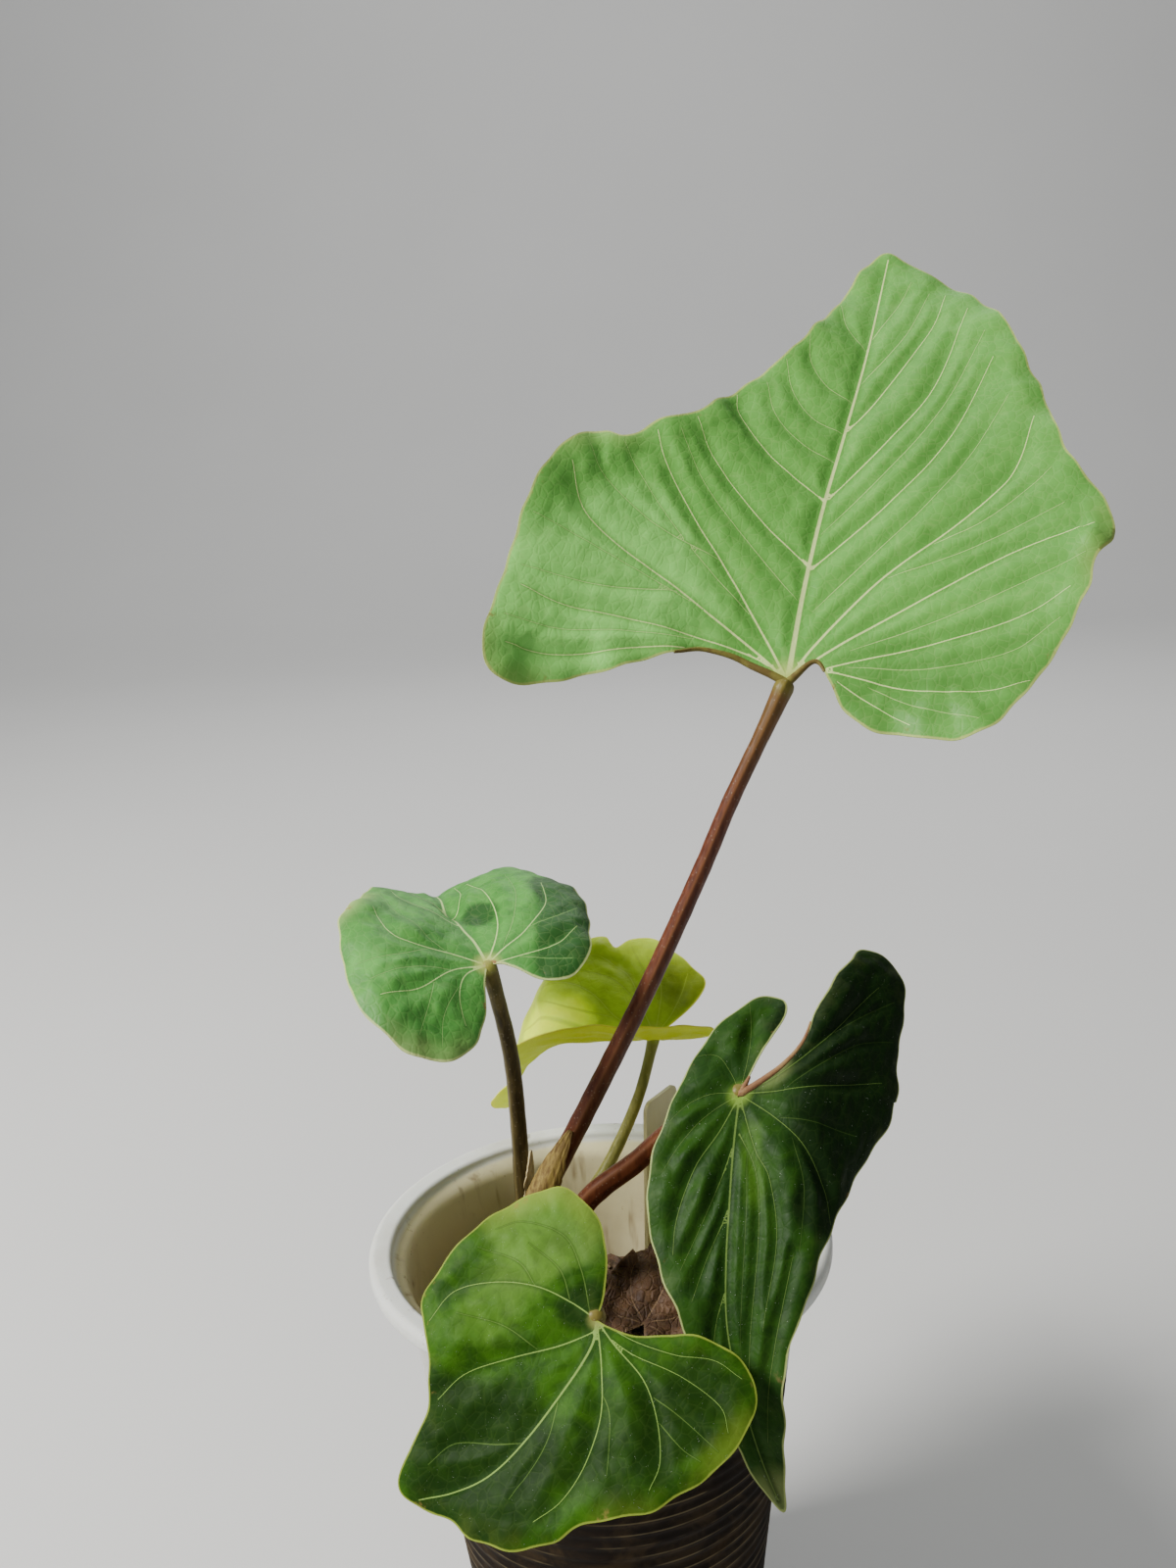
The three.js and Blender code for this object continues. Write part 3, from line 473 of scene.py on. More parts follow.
# The large leaf's blade. A thin leathery sheet, light green, heart-shaped and waved at its margin, with a
# pale midrib and main veins that fan out from the stalk and a fainter vein halfway between each two.
BLADE_HALF = 0.30
THIN_RIM = 1.2
UNDER_RIB = 2.4
CALM_REACH = 20.0
VEIN_ROOM = 0.55
FINE_STRENGTH = 0.6
FAR_OFF = 50.0
WALK_STEP, WALK_REACH = 0.25, 170
SPANS_AT_ONCE = 40
UV_PER_MM, UV_SHIFT = 100, 0.8
DUST_PALE = (0.75, 0.78, 0.7, 1)
large_leaf = {
    "origin": (48.3, 20, 238.3), "heading": 57.5, "rise": 56.2, "roll": 26.1,
    # Slopes in degrees at distances from the stalk: across the two halves, to the tip and to the lobes.
    "right": [(0, 6), (60, 13)], "left": [(0, 6), (65, 22)],
    "front": [(0, 0), (130, -21)], "back": [(0, 0), (20, -3)],
    "ripple": (11, 1.3, 0.4), "ripple_depth": 20, "spacing": 0.85,
    "quilt": 1.0, "pucker": 0.05, "groove": 2.4, "rib": 0.18, "lumps": 0.10, "seed": 3, "scallop": 0.3,
    # Faded and deep spots: centre across and along, radius, strength. The deep spots are painted shade, and a
    # negative strength paints light instead.
    "faded": [(-56, 44, 12, 0.4), (62, 44, 12, 0.5), (-62, -14, 10, 0.4)],
    "deep": [(22, 2, 16, 0.7), (46, 10, 16, 0.5), (40, 50, 26, 0.4), (14, 80, 24, 0.45), (-20, 60, 16, 0.35),
             (-54, 4, 20, -1.0), (-42, 22, 16, -0.8), (-28, 10, 14, -0.6)],
    # Local swellings and hollows: centre across and along, half width, half length, rise.
    "swellings": [(-51, 46, 4, 3, 1.8), (-45, 42, 4, 5, -0.4), (60, 45, 4, 5, 2.2), (-40, -2, 12, 4, 1.0),
                  (38, 88, 5, 12, 0.9), (-26, 70, 4, 6, -1.0), (44, 60, 12, 3, -0.7)],
    "outline": [
        (5, 6), (9, 2), (14, -4), (21, -7), (30, -7), (39, -6), (46, -1), (51, 8), (56, 19), (60, 33),
        (60.5, 41), (63.5, 46), (62.5, 53), (58, 60), (52, 66), (47, 78), (41, 93), (33, 108), (24, 120),
        (12, 127), (1, 132), (-5, 124), (-10, 106), (-17, 89), (-24, 76), (-31, 66), (-36, 59), (-44, 53),
        (-50, 46.5), (-55, 46.5), (-62, 40), (-67, 27), (-67, 12), (-68, -4), (-67, -14), (-60, -18),
        (-50, -14), (-38, -8), (-26, 0), (-17, 3), (-8, 2)],
    # Each vein: width at its start, width at its end, and the points that it follows.
    "veins": [
        (1.5, 0.35, [(0, 0), (-1, 22), (-1, 44), (0, 66), (1, 94), (1, 129)]),
        (0.75, 0.2, [(0, 0), (-6.5, 8.5), (-19, 22.5), (-30, 33.5), (-39, 44), (-43, 51)]),
        (0.8, 0.2, [(0, 0), (-9.5, 6), (-28.5, 14.5), (-45.5, 20.5), (-55, 26), (-60, 35)]),
        (0.55, 0.15, [(0, 0), (-8.5, 4), (-24, 5), (-40, 4), (-53, 2.5), (-63, 3.5)]),
        (0.45, 0.15, [(-18.5, 3.2), (-32, -1), (-51, -8.5), (-63, -10)]),
        (0.8, 0.2, [(0, 0), (4.5, 10.5), (15.5, 29), (31, 47.5), (40, 62), (42.5, 78)]),
        (0.75, 0.2, [(0, 0), (8.5, 10), (26, 26), (43.5, 40.5), (59, 49)]),
        (0.55, 0.15, [(0, 0), (11, 6.5), (29.5, 15), (47, 24.5), (56, 32)]),
        (0.55, 0.15, [(0, 0), (8.5, 4), (26, 3.5), (42.5, 6), (51, 10)]),
        (0.4, 0.15, [(10.8, 2.2), (16, 0), (28, -4.5)]),
        (0.5, 0.15, [(-1, 29), (-15, 38), (-28.5, 49.5), (-35, 58)]),
        (0.45, 0.15, [(-1, 47), (-15.5, 55), (-25, 64), (-27, 70)]),
        (0.45, 0.15, [(0, 29), (14, 50), (24.5, 70.5), (31, 96)]),
        (0.45, 0.15, [(0, 48), (10, 66.5), (18.5, 85.5), (23, 114)]),
        (0.4, 0.15, [(0, 67), (6, 79.5), (15, 105), (17, 119)])],
    "fine_veins": [
        (0.25, 0.1, [(-21, 24.5), (-38, 28), (-52, 35), (-57, 41)]),
        (0.25, 0.1, [(-29, 14), (-46, 9.5), (-64, 8)]),
        (0.22, 0.1, [(0, 58), (-9.5, 61), (-17, 67), (-21, 76)]),
        (0.22, 0.1, [(0, 67), (-8, 69), (-14, 75), (-18, 84)]),
        (0.22, 0.1, [(0, 77), (-7, 80), (-12, 86), (-14, 94)]),
        (0.22, 0.1, [(0.5, 95), (-5, 101), (-8, 109)]),
        (0.22, 0.1, [(16, 29), (34, 40), (52, 54)]),
        (0.22, 0.1, [(24, 39), (36, 48), (48, 63)]),
        (0.22, 0.1, [(2, 18), (12, 34), (22, 50), (30, 66), (36, 84)]),
        (0.22, 0.1, [(1, 83), (9, 101), (13, 119)]),
        (0.22, 0.1, [(1, 98), (6, 113), (8, 122)]),
        (0.2, 0.1, [(0, 38), (11, 57), (21, 78), (28, 105)]),
        (0.22, 0.1, [(-2, 20), (-15, 30), (-28, 41), (-38, 53)]),
        (0.22, 0.1, [(-9, 12), (-24, 22), (-38, 33), (-50, 45)]),
        (0.2, 0.1, [(-22, 12), (-40, 16), (-56, 19), (-65, 20)]),
        (0.2, 0.1, [(-20, 5), (-38, 1), (-52, -3), (-65, -4)]),
        (0.2, 0.1, [(12, 10), (30, 21), (48, 34), (58, 41)]),
        (0.2, 0.1, [(12, 6), (30, 9), (46, 16), (55, 25)]),
        (0.2, 0.1, [(17.5, 2.4), (28, 0), (42, -1)])],
}


def bell(x):
    """1 at nought, falling on both sides as e to the power of minus x squared."""
    return np.exp(-x ** 2)


def from_stalk(flat):
    """0 at the stalk, rising evenly with the distance from it to 1 at CALM_REACH."""
    return np.minimum(1, np.linalg.norm(flat, axis=1) / CALM_REACH)


def walk(slopes, distance):
    """Follows a strip whose slope, in degrees, changes evenly between the given (distance, slope) pairs. The
    way out is the sum of the slope's cosine over small steps, and the way up is the sum of its sine."""
    start = np.arange(0, WALK_REACH, WALK_STEP)
    at, slope = np.array(slopes, float).T
    angle = np.radians(np.interp(start + WALK_STEP / 2, at, slope))
    out = np.concatenate([[0], np.cumsum(np.cos(angle) * WALK_STEP)[:-1]])
    up = np.concatenate([[0], np.cumsum(np.sin(angle) * WALK_STEP)[:-1]])
    slope_there = np.radians(np.interp(distance, at, slope))
    return np.interp(distance, start, out), np.interp(distance, start, up), slope_there


def leaf_frame(leaf):
    """The blade's directions: tip along its heading and rise, across and face rolled about the tip."""
    heading, rise, roll = (math.radians(leaf[key]) for key in ("heading", "rise", "roll"))
    tip = np.array([math.cos(heading) * math.cos(rise), math.sin(heading) * math.cos(rise), math.sin(rise)])
    side = np.array([math.sin(heading), -math.cos(heading), 0])
    face = np.cross(side, tip)
    across = math.cos(roll) * side - math.sin(roll) * face
    return across, tip, math.sin(roll) * side + math.cos(roll) * face


def bend_flat(leaf, flat):
    """Bends flat blade points (u, v) into space. u walks along the slopes of its half, which gives a width
    and a lift that is softened near the midrib. v walks along the midrib's slopes, and the lift stands
    square to the midrib there. A sway, where the leaf has one, moves the width sideways along v."""
    u, v = flat[:, 0], flat[:, 1]
    right, left = walk(leaf["right"], np.abs(u)), walk(leaf["left"], np.abs(u))
    front, back = walk(leaf["front"], np.abs(v)), walk(leaf["back"], np.abs(v))
    width = np.where(u >= 0, right[0], -left[0])
    lift = np.where(u >= 0, right[1], left[1]) * np.abs(u) / (np.abs(u) + 3)
    slope = np.where(v >= 0, front[2], -back[2])
    if "sway_front" in leaf:
        sway = walk(leaf["sway_front"], np.abs(v))[1], walk(leaf["sway_back"], np.abs(v))[1]
        width = width + np.where(v >= 0, *sway)
    forward = np.where(v >= 0, front[0], -back[0]) - lift * np.sin(slope)
    rise = np.where(v >= 0, front[1], back[1]) + lift * np.cos(slope)
    across, tip, normal = leaf_frame(leaf)
    place = np.array(leaf["origin"]) + width[:, None] * across + forward[:, None] * tip
    return place + rise[:, None] * normal


def blade_normals(leaf, flat):
    """The upper face's direction: the cross product of two short steps, one across and one along."""
    reach = 0.4
    du = bend_flat(leaf, flat + (reach, 0)) - bend_flat(leaf, flat - (reach, 0))
    dv = bend_flat(leaf, flat + (0, reach)) - bend_flat(leaf, flat - (0, reach))
    normal = np.cross(du, dv)
    return normal / np.linalg.norm(normal, axis=1)[:, None]


def nearest_on_path(points, path):
    """Distance from each point to the path, and how far along the path its nearest spot is, from 0 to 1."""
    start, span = path[:-1], np.diff(path, axis=0)
    best, where = np.full(len(points), np.inf), np.zeros(len(points))
    for first in range(0, len(span), SPANS_AT_ONCE):
        a, s = start[first:first + SPANS_AT_ONCE], span[first:first + SPANS_AT_ONCE]
        gap = points[:, None] - a
        t = np.clip((gap * s).sum(2) / (s * s).sum(1), 0, 1)
        distance = np.linalg.norm(gap - t[..., None] * s, axis=2)
        nearest = distance.argmin(1)
        row = np.arange(len(points))
        closer = distance[row, nearest] < best
        best = np.where(closer, distance[row, nearest], best)
        where = np.where(closer, (first + nearest + t[row, nearest]) / len(span), where)
    return best, where


def inside_loop(points, loop):
    """True where a ray from the point crosses the closed loop an odd number of times."""
    p, q = loop, np.roll(loop, -1, axis=0)
    x, y = points[:, 0][:, None], points[:, 1][:, None]
    crosses = (p[:, 1] > y) != (q[:, 1] > y)
    rise = np.where(q[:, 1] == p[:, 1], 1e-9, q[:, 1] - p[:, 1])
    at = p[:, 0] + (q[:, 0] - p[:, 0]) * (y - p[:, 1]) / rise
    return (crosses & (x < at)).sum(1) % 2 == 1


def thin_out(points, room, kept):
    """Leaves out each point that lies closer than room to a point already kept."""
    return points[np.linalg.norm(points[:, None] - kept[None], axis=2).min(1) > room]


def vein_points(leaf, margin, paths):
    """Points on every vein that lie clear of the margin and of the veins already laid."""
    laid = margin
    found = []
    for path in paths:
        path = path[inside_loop(path, margin)]
        path = thin_out(path, VEIN_ROOM * leaf["spacing"], laid)
        found.append(path)
        laid = np.vstack([laid, path])
    return np.vstack(found)


def wavy(margin, height):
    """Moves each margin point across the margin by the given height times the sum of three waves along it:
    two sines, and one whose strength is a slower sine. The sum fades to nothing near the stalk."""
    ahead = np.roll(margin, -1, axis=0) - np.roll(margin, 1, axis=0)
    across = np.stack([ahead[:, 1], -ahead[:, 0]], axis=1) / np.linalg.norm(ahead, axis=1)[:, None]
    reach = np.cumsum(np.linalg.norm(ahead, axis=1)) / 2
    wave = 0.5 * np.sin(reach / 1.45) + 0.5 * np.sin(reach / 4.1 + 2)
    wave = wave + 0.6 * np.sin(reach / 2.6 + 1) * np.sin(reach / 9)
    return margin + across * (height * wave * from_stalk(margin))[:, None]


def closed_margin(leaf, step):
    """The blade's smooth waved margin, from the stalk round and back to it."""
    margin = wavy(smooth_path([(0, 0), *leaf["outline"], (0, 0)], step)[:-1], leaf["scallop"])
    return np.vstack([margin, margin[:1]])


def ripple(leaf, flat, edge, turn):
    """Height of the waves at the margin: a sine of the turn round the blade and three tenths of a finer one.
    They fade as the square of the way in from the margin, and evenly towards the stalk."""
    waves, height, phase = leaf["ripple"]
    fade = from_stalk(flat) * np.maximum(0, 1 - edge / leaf["ripple_depth"]) ** 2
    angle = 2 * math.pi * waves * turn
    return height * fade * (np.sin(angle + phase) + 0.3 * np.sin(3.3 * angle + 1))


def spots(places, flat):
    """Sum of round soft spots, kept from -1 to 1. Each is its strength times e to the power of minus the
    fourth power of distance over radius."""
    total = np.zeros(len(flat))
    for across, along, radius, strength in places:
        gap = np.hypot(flat[:, 0] - across, flat[:, 1] - along)
        total += strength * np.exp(-(gap / radius) ** 4)
    return np.clip(total, -1, 1)


def sine_sum(flat, chance, count, shortest, longest):
    """A third of the sum of sine waves that run over the flat pattern. Their ways, lengths and phases are
    left to chance."""
    way, phase = chance.uniform(0, 2 * math.pi, (2, count))
    length = chance.uniform(shortest, longest, count)
    along = flat @ np.stack([np.cos(way), np.sin(way)])
    return np.sin(along * 2 * math.pi / length + phase).sum(axis=1) / 3


def flat_pattern(leaf):
    """The flat sheet in triangles: the smooth margin, points along every vein and even rows between. A
    triangle with all its corners on veins is split at its middle. Margin and veins are given back too."""
    s = leaf["spacing"]
    closed = closed_margin(leaf, s)
    margin = closed[:-1]
    veins = [(a, b, smooth_path(points, s), 1.0) for a, b, points in leaf["veins"]]
    veins += [(a, b, smooth_path(points, s), FINE_STRENGTH) for a, b, points in leaf["fine_veins"]]
    on_veins = vein_points(leaf, margin, [path for _, _, path, _ in veins])
    low, high = margin.min(0), margin.max(0)
    u, v = np.meshgrid(np.arange(low[0], high[0], s), np.arange(low[1], high[1], s * 0.87))
    u = u + (np.arange(len(u)) % 2 * s / 2)[:, None]
    rows = np.stack([u.ravel(), v.ravel()], axis=1)
    rows = rows[inside_loop(rows, margin)]
    for path in [closed] + [path for _, _, path, _ in veins]:
        rows = rows[nearest_on_path(rows, path)[0] > VEIN_ROOM * s]
    flat = np.vstack([margin, on_veins, rows])
    loop = [(i, (i + 1) % len(margin)) for i in range(len(margin))]
    found = delaunay_2d_cdt([Vector(p) for p in flat.tolist()], loop, [], 1, 1e-5)
    flat = np.array([tuple(p) for p in found[0]])
    upper = np.array(found[2])
    source = np.array([(numbers or [-1])[0] for numbers in found[3]])
    on_vein = (source >= len(margin)) & (source < len(margin) + len(on_veins))
    wedge = on_vein[upper].all(axis=1)
    a, b, c = upper[wedge].T
    middle = len(flat) + np.arange(len(a))
    flat = np.vstack([flat, flat[upper[wedge]].mean(axis=1)])
    thirds = [np.stack([p, q, middle], axis=1) for p, q in ((a, b), (b, c), (c, a))]
    return flat, np.vstack([upper[~wedge]] + thirds), closed, veins


def vein_fields(leaf, flat, veins):
    """What the veins do to each point. The first two values are its distances to the nearest main and the
    nearest fine vein, in half widths of that vein. The rib is a bell across each main vein, as high as the
    vein is wide. The crease is 1 between veins and falls in a bell across each, less at a fine vein and
    towards any vein's end."""
    near_main = np.full(len(flat), FAR_OFF)
    near_fine = np.full(len(flat), FAR_OFF)
    rib = np.zeros(len(flat))
    crease = np.ones(len(flat))
    for start_width, end_width, path, strength in veins:
        gap, along = nearest_on_path(flat, path)
        width = start_width + (end_width - start_width) * along ** 0.6
        if np.linalg.norm(path[0]) > 1:
            width = width * np.minimum(1, 0.3 + 5 * along)
        ratio = gap / (width / 2)
        if strength == 1.0:
            near_main = np.minimum(near_main, ratio)
            rib = np.maximum(rib, width * bell(gap / (0.9 * width)))
        else:
            near_fine = np.minimum(near_fine, ratio)
        fade = np.minimum(1, 4 * (1 - along) + 0.1)
        spread = leaf["groove"] * (0.5 + 0.5 * strength)
        crease = np.minimum(crease, 1 - strength * fade * bell(gap / spread))
    return near_main, near_fine, rib, crease


def blade_mesh(name, leaf):
    """A blade as one closed sheet: the flat pattern twice, as its two faces, and a wall round the margin. A
    point stands off the bent blade by half the thickness, by the ripple of the margin, by slow lumps and by
    the quilting, which is low along a vein and full between veins. Main veins stand up a little again on the
    upper face and more on the lower."""
    flat, upper, closed, veins = flat_pattern(leaf)
    count = len(flat)
    edge, turn = nearest_on_path(flat, closed)
    near_main, near_fine, rib, crease = vein_fields(leaf, flat, veins)
    near_stalk = from_stalk(flat)
    chance = np.random.default_rng(leaf["seed"])
    lumps = sine_sum(flat, chance, 7, 7, 22)
    pucker = leaf["pucker"] * sine_sum(flat, chance, 12, 2.6, 5.5)
    body = np.minimum(1, edge / 4)
    for across, along, half_width, half_length, rise in leaf.get("swellings", []):
        away = ((flat[:, 0] - across) / half_width) ** 2 + ((flat[:, 1] - along) / half_length) ** 2
        lumps += rise / leaf["lumps"] * np.exp(-away)
    slow = leaf["lumps"] * lumps * np.minimum(1, 0.4 + edge / 8) * near_stalk
    quilting = (leaf["quilt"] * (crease - 0.6) + pucker * crease) * body * (0.35 + 0.65 * near_stalk)
    offset = ripple(leaf, flat, edge, turn) + slow + quilting
    half = BLADE_HALF * (0.45 + 0.55 * np.minimum(1, edge / THIN_RIM))
    normal = blade_normals(leaf, flat)
    place = bend_flat(leaf, flat)
    top = place + normal * (offset + half + leaf["rib"] * rib * body)[:, None]
    under = place + normal * (offset - half - UNDER_RIB * leaf["rib"] * rib * body)[:, None]
    edges = np.vstack([upper[:, [0, 1]], upper[:, [1, 2]], upper[:, [2, 0]]])
    rim = edges[~np.isin(edges @ (count, 1), edges @ (1, count))]
    wall = [np.stack([rim[:, 0], rim[:, 0] + count, rim[:, 1] + count], axis=1),
            np.stack([rim[:, 0], rim[:, 1] + count, rim[:, 1]], axis=1)]
    piece = to_mesh(name, np.vstack([top, under]), np.vstack([upper, upper[:, ::-1] + count, *wall]), 60)
    # The deep values carry painted shade where positive and painted light where negative.
    values = {"vein": near_main, "fine_vein": near_fine, "edge": edge,
              "fade": spots(leaf.get("faded", []), flat), "deep": spots(leaf.get("deep", []), flat)}
    keep_values(piece, **{key: np.tile(value, 2) for key, value in values.items()})
    keep_values(piece, under=np.repeat([0.0, 1.0], count))
    corner = np.zeros(len(piece.data.loops), np.int32)
    piece.data.loops.foreach_get("vertex_index", corner)
    uv = (np.tile(flat, (2, 1)) / UV_PER_MM + UV_SHIFT)[corner]
    piece.data.uv_layers.new(name="flat").data.foreach_set("uv", uv.astype(np.float32).ravel())
    return piece


def leaf_skin_group():
    """Colour, roughness and fine height of a leaf's two faces. Veins and margin come from distances kept in
    the mesh, the net of finest veins from cell edges in the flat pattern, and patches from noise. Painted
    shade darkens the grooves beside the veins and the deep spots kept in the mesh, and painted light adds
    the sunlit colour where those spots are negative."""
    tree = bpy.data.node_groups.new("leaf_skin", "ShaderNodeTree")
    colours = {
        "Lamina": (0.2, 0.4, 0.1, 1), "Lamina deep": (0.1, 0.25, 0.05, 1), "Vein": (0.6, 0.7, 0.3, 1),
        "Margin": (0.6, 0.65, 0.3, 1), "Heart": (0.5, 0.6, 0.15, 1), "Under": (0.3, 0.45, 0.2, 1),
        "Withered": (0.35, 0.2, 0.08, 1), "Sunlit": (0.1, 0.2, 0.05, 1),
    }
    amounts = {
        "Net": 0.3, "Margin width": 0.5, "Patch": 0.6, "Heart reach": 6.0, "Dust": 0.3, "Wither": 0.2,
        "Shine": 0.4, "Vein strength": 1.0, "Fine strength": 0.4, "Fade": 0.5, "Shade weight": 0.8, "Sunlit weight": 0.4,
    }
    for kind, inputs in (("NodeSocketColor", colours), ("NodeSocketFloat", amounts)):
        for name, value in inputs.items():
            socket = tree.interface.new_socket(name=name, in_out="INPUT", socket_type=kind)
            socket.default_value = value
    outputs = {"Color": "NodeSocketColor", "Roughness": "NodeSocketFloat", "Height": "NodeSocketFloat"}
    for name, kind in outputs.items():
        tree.interface.new_socket(name=name, in_out="OUTPUT", socket_type=kind)
    n = Nodes(tree)
    given = n.add("NodeGroupInput").outputs
    flat = n.add("ShaderNodeUVMap", uv_map="flat").outputs[0]
    vein, fine, edge, under = (n.value_of(name) for name in ("vein", "fine_vein", "edge", "under"))
    from_heart = n.add("ShaderNodeVectorMath", operation="DISTANCE")
    n.join(flat, from_heart.inputs[0])
    from_heart.inputs[1].default_value = (UV_SHIFT, UV_SHIFT, 0)
    from_heart = n.times(from_heart.outputs["Value"], UV_PER_MM)
    mottle = n.noise(flat, 75, 4, 0.6)
    net_cell = n.cells(n.stretched(flat, (1, 0.8, 1)), 52, "DISTANCE_TO_EDGE", 0.9)
    uneven = n.drift(flat, 22, 3, 0.5)
    # Painted shade and painted light: the deep spots plus a little noise. Where positive they darken the
    # lamina towards a near-black green, and where negative they add the sunlit colour.
    painted_shading = n.plus(n.value_of("deep"), uneven)
    patches = n.ramp(n.noise(flat, 14, 4, 0.6, 0.5), 0.38, 0.66)
    colour = n.tint(given["Lamina"], given["Lamina deep"], patches, given["Patch"])
    halfway = n.mix(0.5, given["Lamina deep"], given["Lamina"])
    colour = n.tint(colour, halfway, n.ramp(mottle, 0.35, 0.7), 0.35)
    pale = n.times(n.ramp(painted_shading, -0.15, -0.85), given["Sunlit weight"])
    colour = n.mix(pale, colour, given["Sunlit"], "ADD")
    painted_shade_colour = n.mix(0.55, given["Lamina deep"], (0, 0, 0, 1))
    colour = n.tint(colour, painted_shade_colour, n.ramp(painted_shading, 0.15, 0.75), given["Shade weight"])
    fading = n.times(n.ramp(edge, 6.0, 0.0), n.plus(n.value_of("fade"), uneven, clamp=True))
    colour = n.tint(colour, given["Margin"], fading, given["Fade"])
    # Painted shade in the grooves beside the veins.
    vein_groove_shade = n.ramp(n.math("MINIMUM", vein, fine), 8.0, 1.5)
    colour = n.tint(colour, given["Lamina deep"], vein_groove_shade, 0.42)
    colour = n.tint(colour, given["Vein"], n.ramp(net_cell, 0.07, 0.0), n.times(given["Net"], 0.5))
    colour = n.tint(colour, given["Under"], under, 0.75)
    colour = n.tint(colour, given["Vein"], n.ramp(fine, 1.6, 0.6), given["Fine strength"])
    colour = n.tint(colour, given["Vein"], n.ramp(vein, 1.15, 0.6), given["Vein strength"])
    near_heart = n.ramp(n.math("DIVIDE", from_heart, given["Heart reach"]), 1.0, 0.15)
    colour = n.tint(colour, given["Heart"], near_heart, 0.85)
    from_rim = n.plus(n.math("DIVIDE", edge, given["Margin width"]), n.drift(flat, 30, 4, 1.4))
    colour = n.tint(colour, given["Margin"], n.ramp(from_rim, 1.5, 0.6), 0.85)
    wither = n.times(n.ramp(n.noise(flat, 19, 5, 0.65), 0.62, 0.70), n.ramp(edge, 2.6, 0.4))
    colour = n.tint(colour, given["Withered"], wither, given["Wither"])
    dust = n.times(n.ramp(n.cells(flat, 240), 0.12, 0.05), n.ramp(n.noise(flat, 60, 2), 0.56, 0.62))
    colour = n.tint(colour, DUST_PALE, dust, given["Dust"])
    rough = n.plus(given["Shine"], n.times(mottle, 0.18))
    rough = n.plus(rough, n.times(under, 0.15))
    rough = n.plus(rough, n.times(n.plus(dust, wither), 0.3))
    height = n.times(n.ramp(net_cell, 0.0, 0.16), 0.5)
    height = n.plus(height, n.times(n.noise(flat, 160, 3), 0.5))
    height = n.plus(height, n.times(n.ramp(fine, 2.4, 0.2), -0.5))
    height = n.plus(height, n.times(dust, 0.4))
    out = n.add("NodeGroupOutput")
    for name, value in (("Color", colour), ("Roughness", rough), ("Height", height)):
        n.join(value, out.inputs[name])
    return tree


leaf_skin = leaf_skin_group()


def leaf_material(name, colours, amounts, bump_strength, **finish):
    """A leaf's own material: the shared skin with this leaf's colours, on its own shader."""
    material, shader, n = new_material(name, **finish)
    group = n.add("ShaderNodeGroup")
    group.node_tree = leaf_skin
    for key, value in {**colours, **amounts}.items():
        group.inputs[key].default_value = (*value, 1) if isinstance(value, tuple) else value
    skin = (group.outputs[name] for name in ("Color", "Roughness", "Height"))
    n.dress(shader, *skin, bump_strength, 0.0006)
    return material


large_skin = leaf_material(
    "light_leaf",
    {"Lamina": (0.135, 0.40, 0.065), "Lamina deep": (0.075, 0.28, 0.035), "Vein": (0.60, 0.74, 0.27),
     "Margin": (0.42, 0.50, 0.13), "Heart": (0.50, 0.62, 0.14), "Under": (0.22, 0.36, 0.10),
     "Withered": (0.25, 0.12, 0.04), "Sunlit": (0.10, 0.25, 0.06)},
    {"Net": 0.14, "Fine strength": 0.55, "Margin width": 0.45, "Patch": 0.35, "Heart reach": 7.0, "Dust": 0.5,
     "Wither": 0.7, "Shine": 0.42, "Shade weight": 0.4, "Sunlit weight": 1.0},
    bump_strength=0.12, IOR=1.42, Specular_IOR_Level=0.3)
blade_large = blade_mesh("leaf_large", large_leaf)
finish_piece(blade_large, large_skin, "leaf_light", "blade_large")

# The large leaf's stalk. A stiff red-brown rod, flat on its upper side with two soft edges, that swells
# into a yellow-green joint under the blade and widens where it clasps the crown.
STALK_STEP = 0.9
STALK_SIDES = 36
STALK_REACH = 1.1
STALK_TIP = 0.3
EDGE_AT, EDGE_WIDTH = 0.55, 0.16
FOOT_COLOUR_REACH = 14.0
PORE_PALE = (0.5, 0.42, 0.3, 1)
RED_STALK = {"Skin": (0.075, 0.018, 0.007), "Skin lit": (0.13, 0.036, 0.013), "Foot": (0.12, 0.065, 0.018),
             "Joint": (0.16, 0.13, 0.025), "Edge": (0.20, 0.085, 0.035)}


def rod_frames(path):
    """Directions along a path: its forward direction, and two square to it that turn as little as they can.
    Each step carries the last side direction along and takes away its part along the new forward one."""
    forward = np.gradient(path, axis=0)
    forward /= np.linalg.norm(forward, axis=1)[:, None]
    side = np.cross(forward[0], (0, 0, 1.0))
    side = side / np.linalg.norm(side) if np.linalg.norm(side) > 0.05 else np.array([1.0, 0, 0])
    sides = []
    for way in forward:
        side = side - way * (side @ way)
        side = side / np.linalg.norm(side)
        sides.append(side)
    sides = np.array(sides)
    return forward, sides, np.cross(forward, sides)


def around(angle, side, up):
    """Directions at the given angles round a path: side times the cosine and up times the sine."""
    return np.cos(angle)[..., None] * side[:, None] + np.sin(angle)[..., None] * up[:, None]


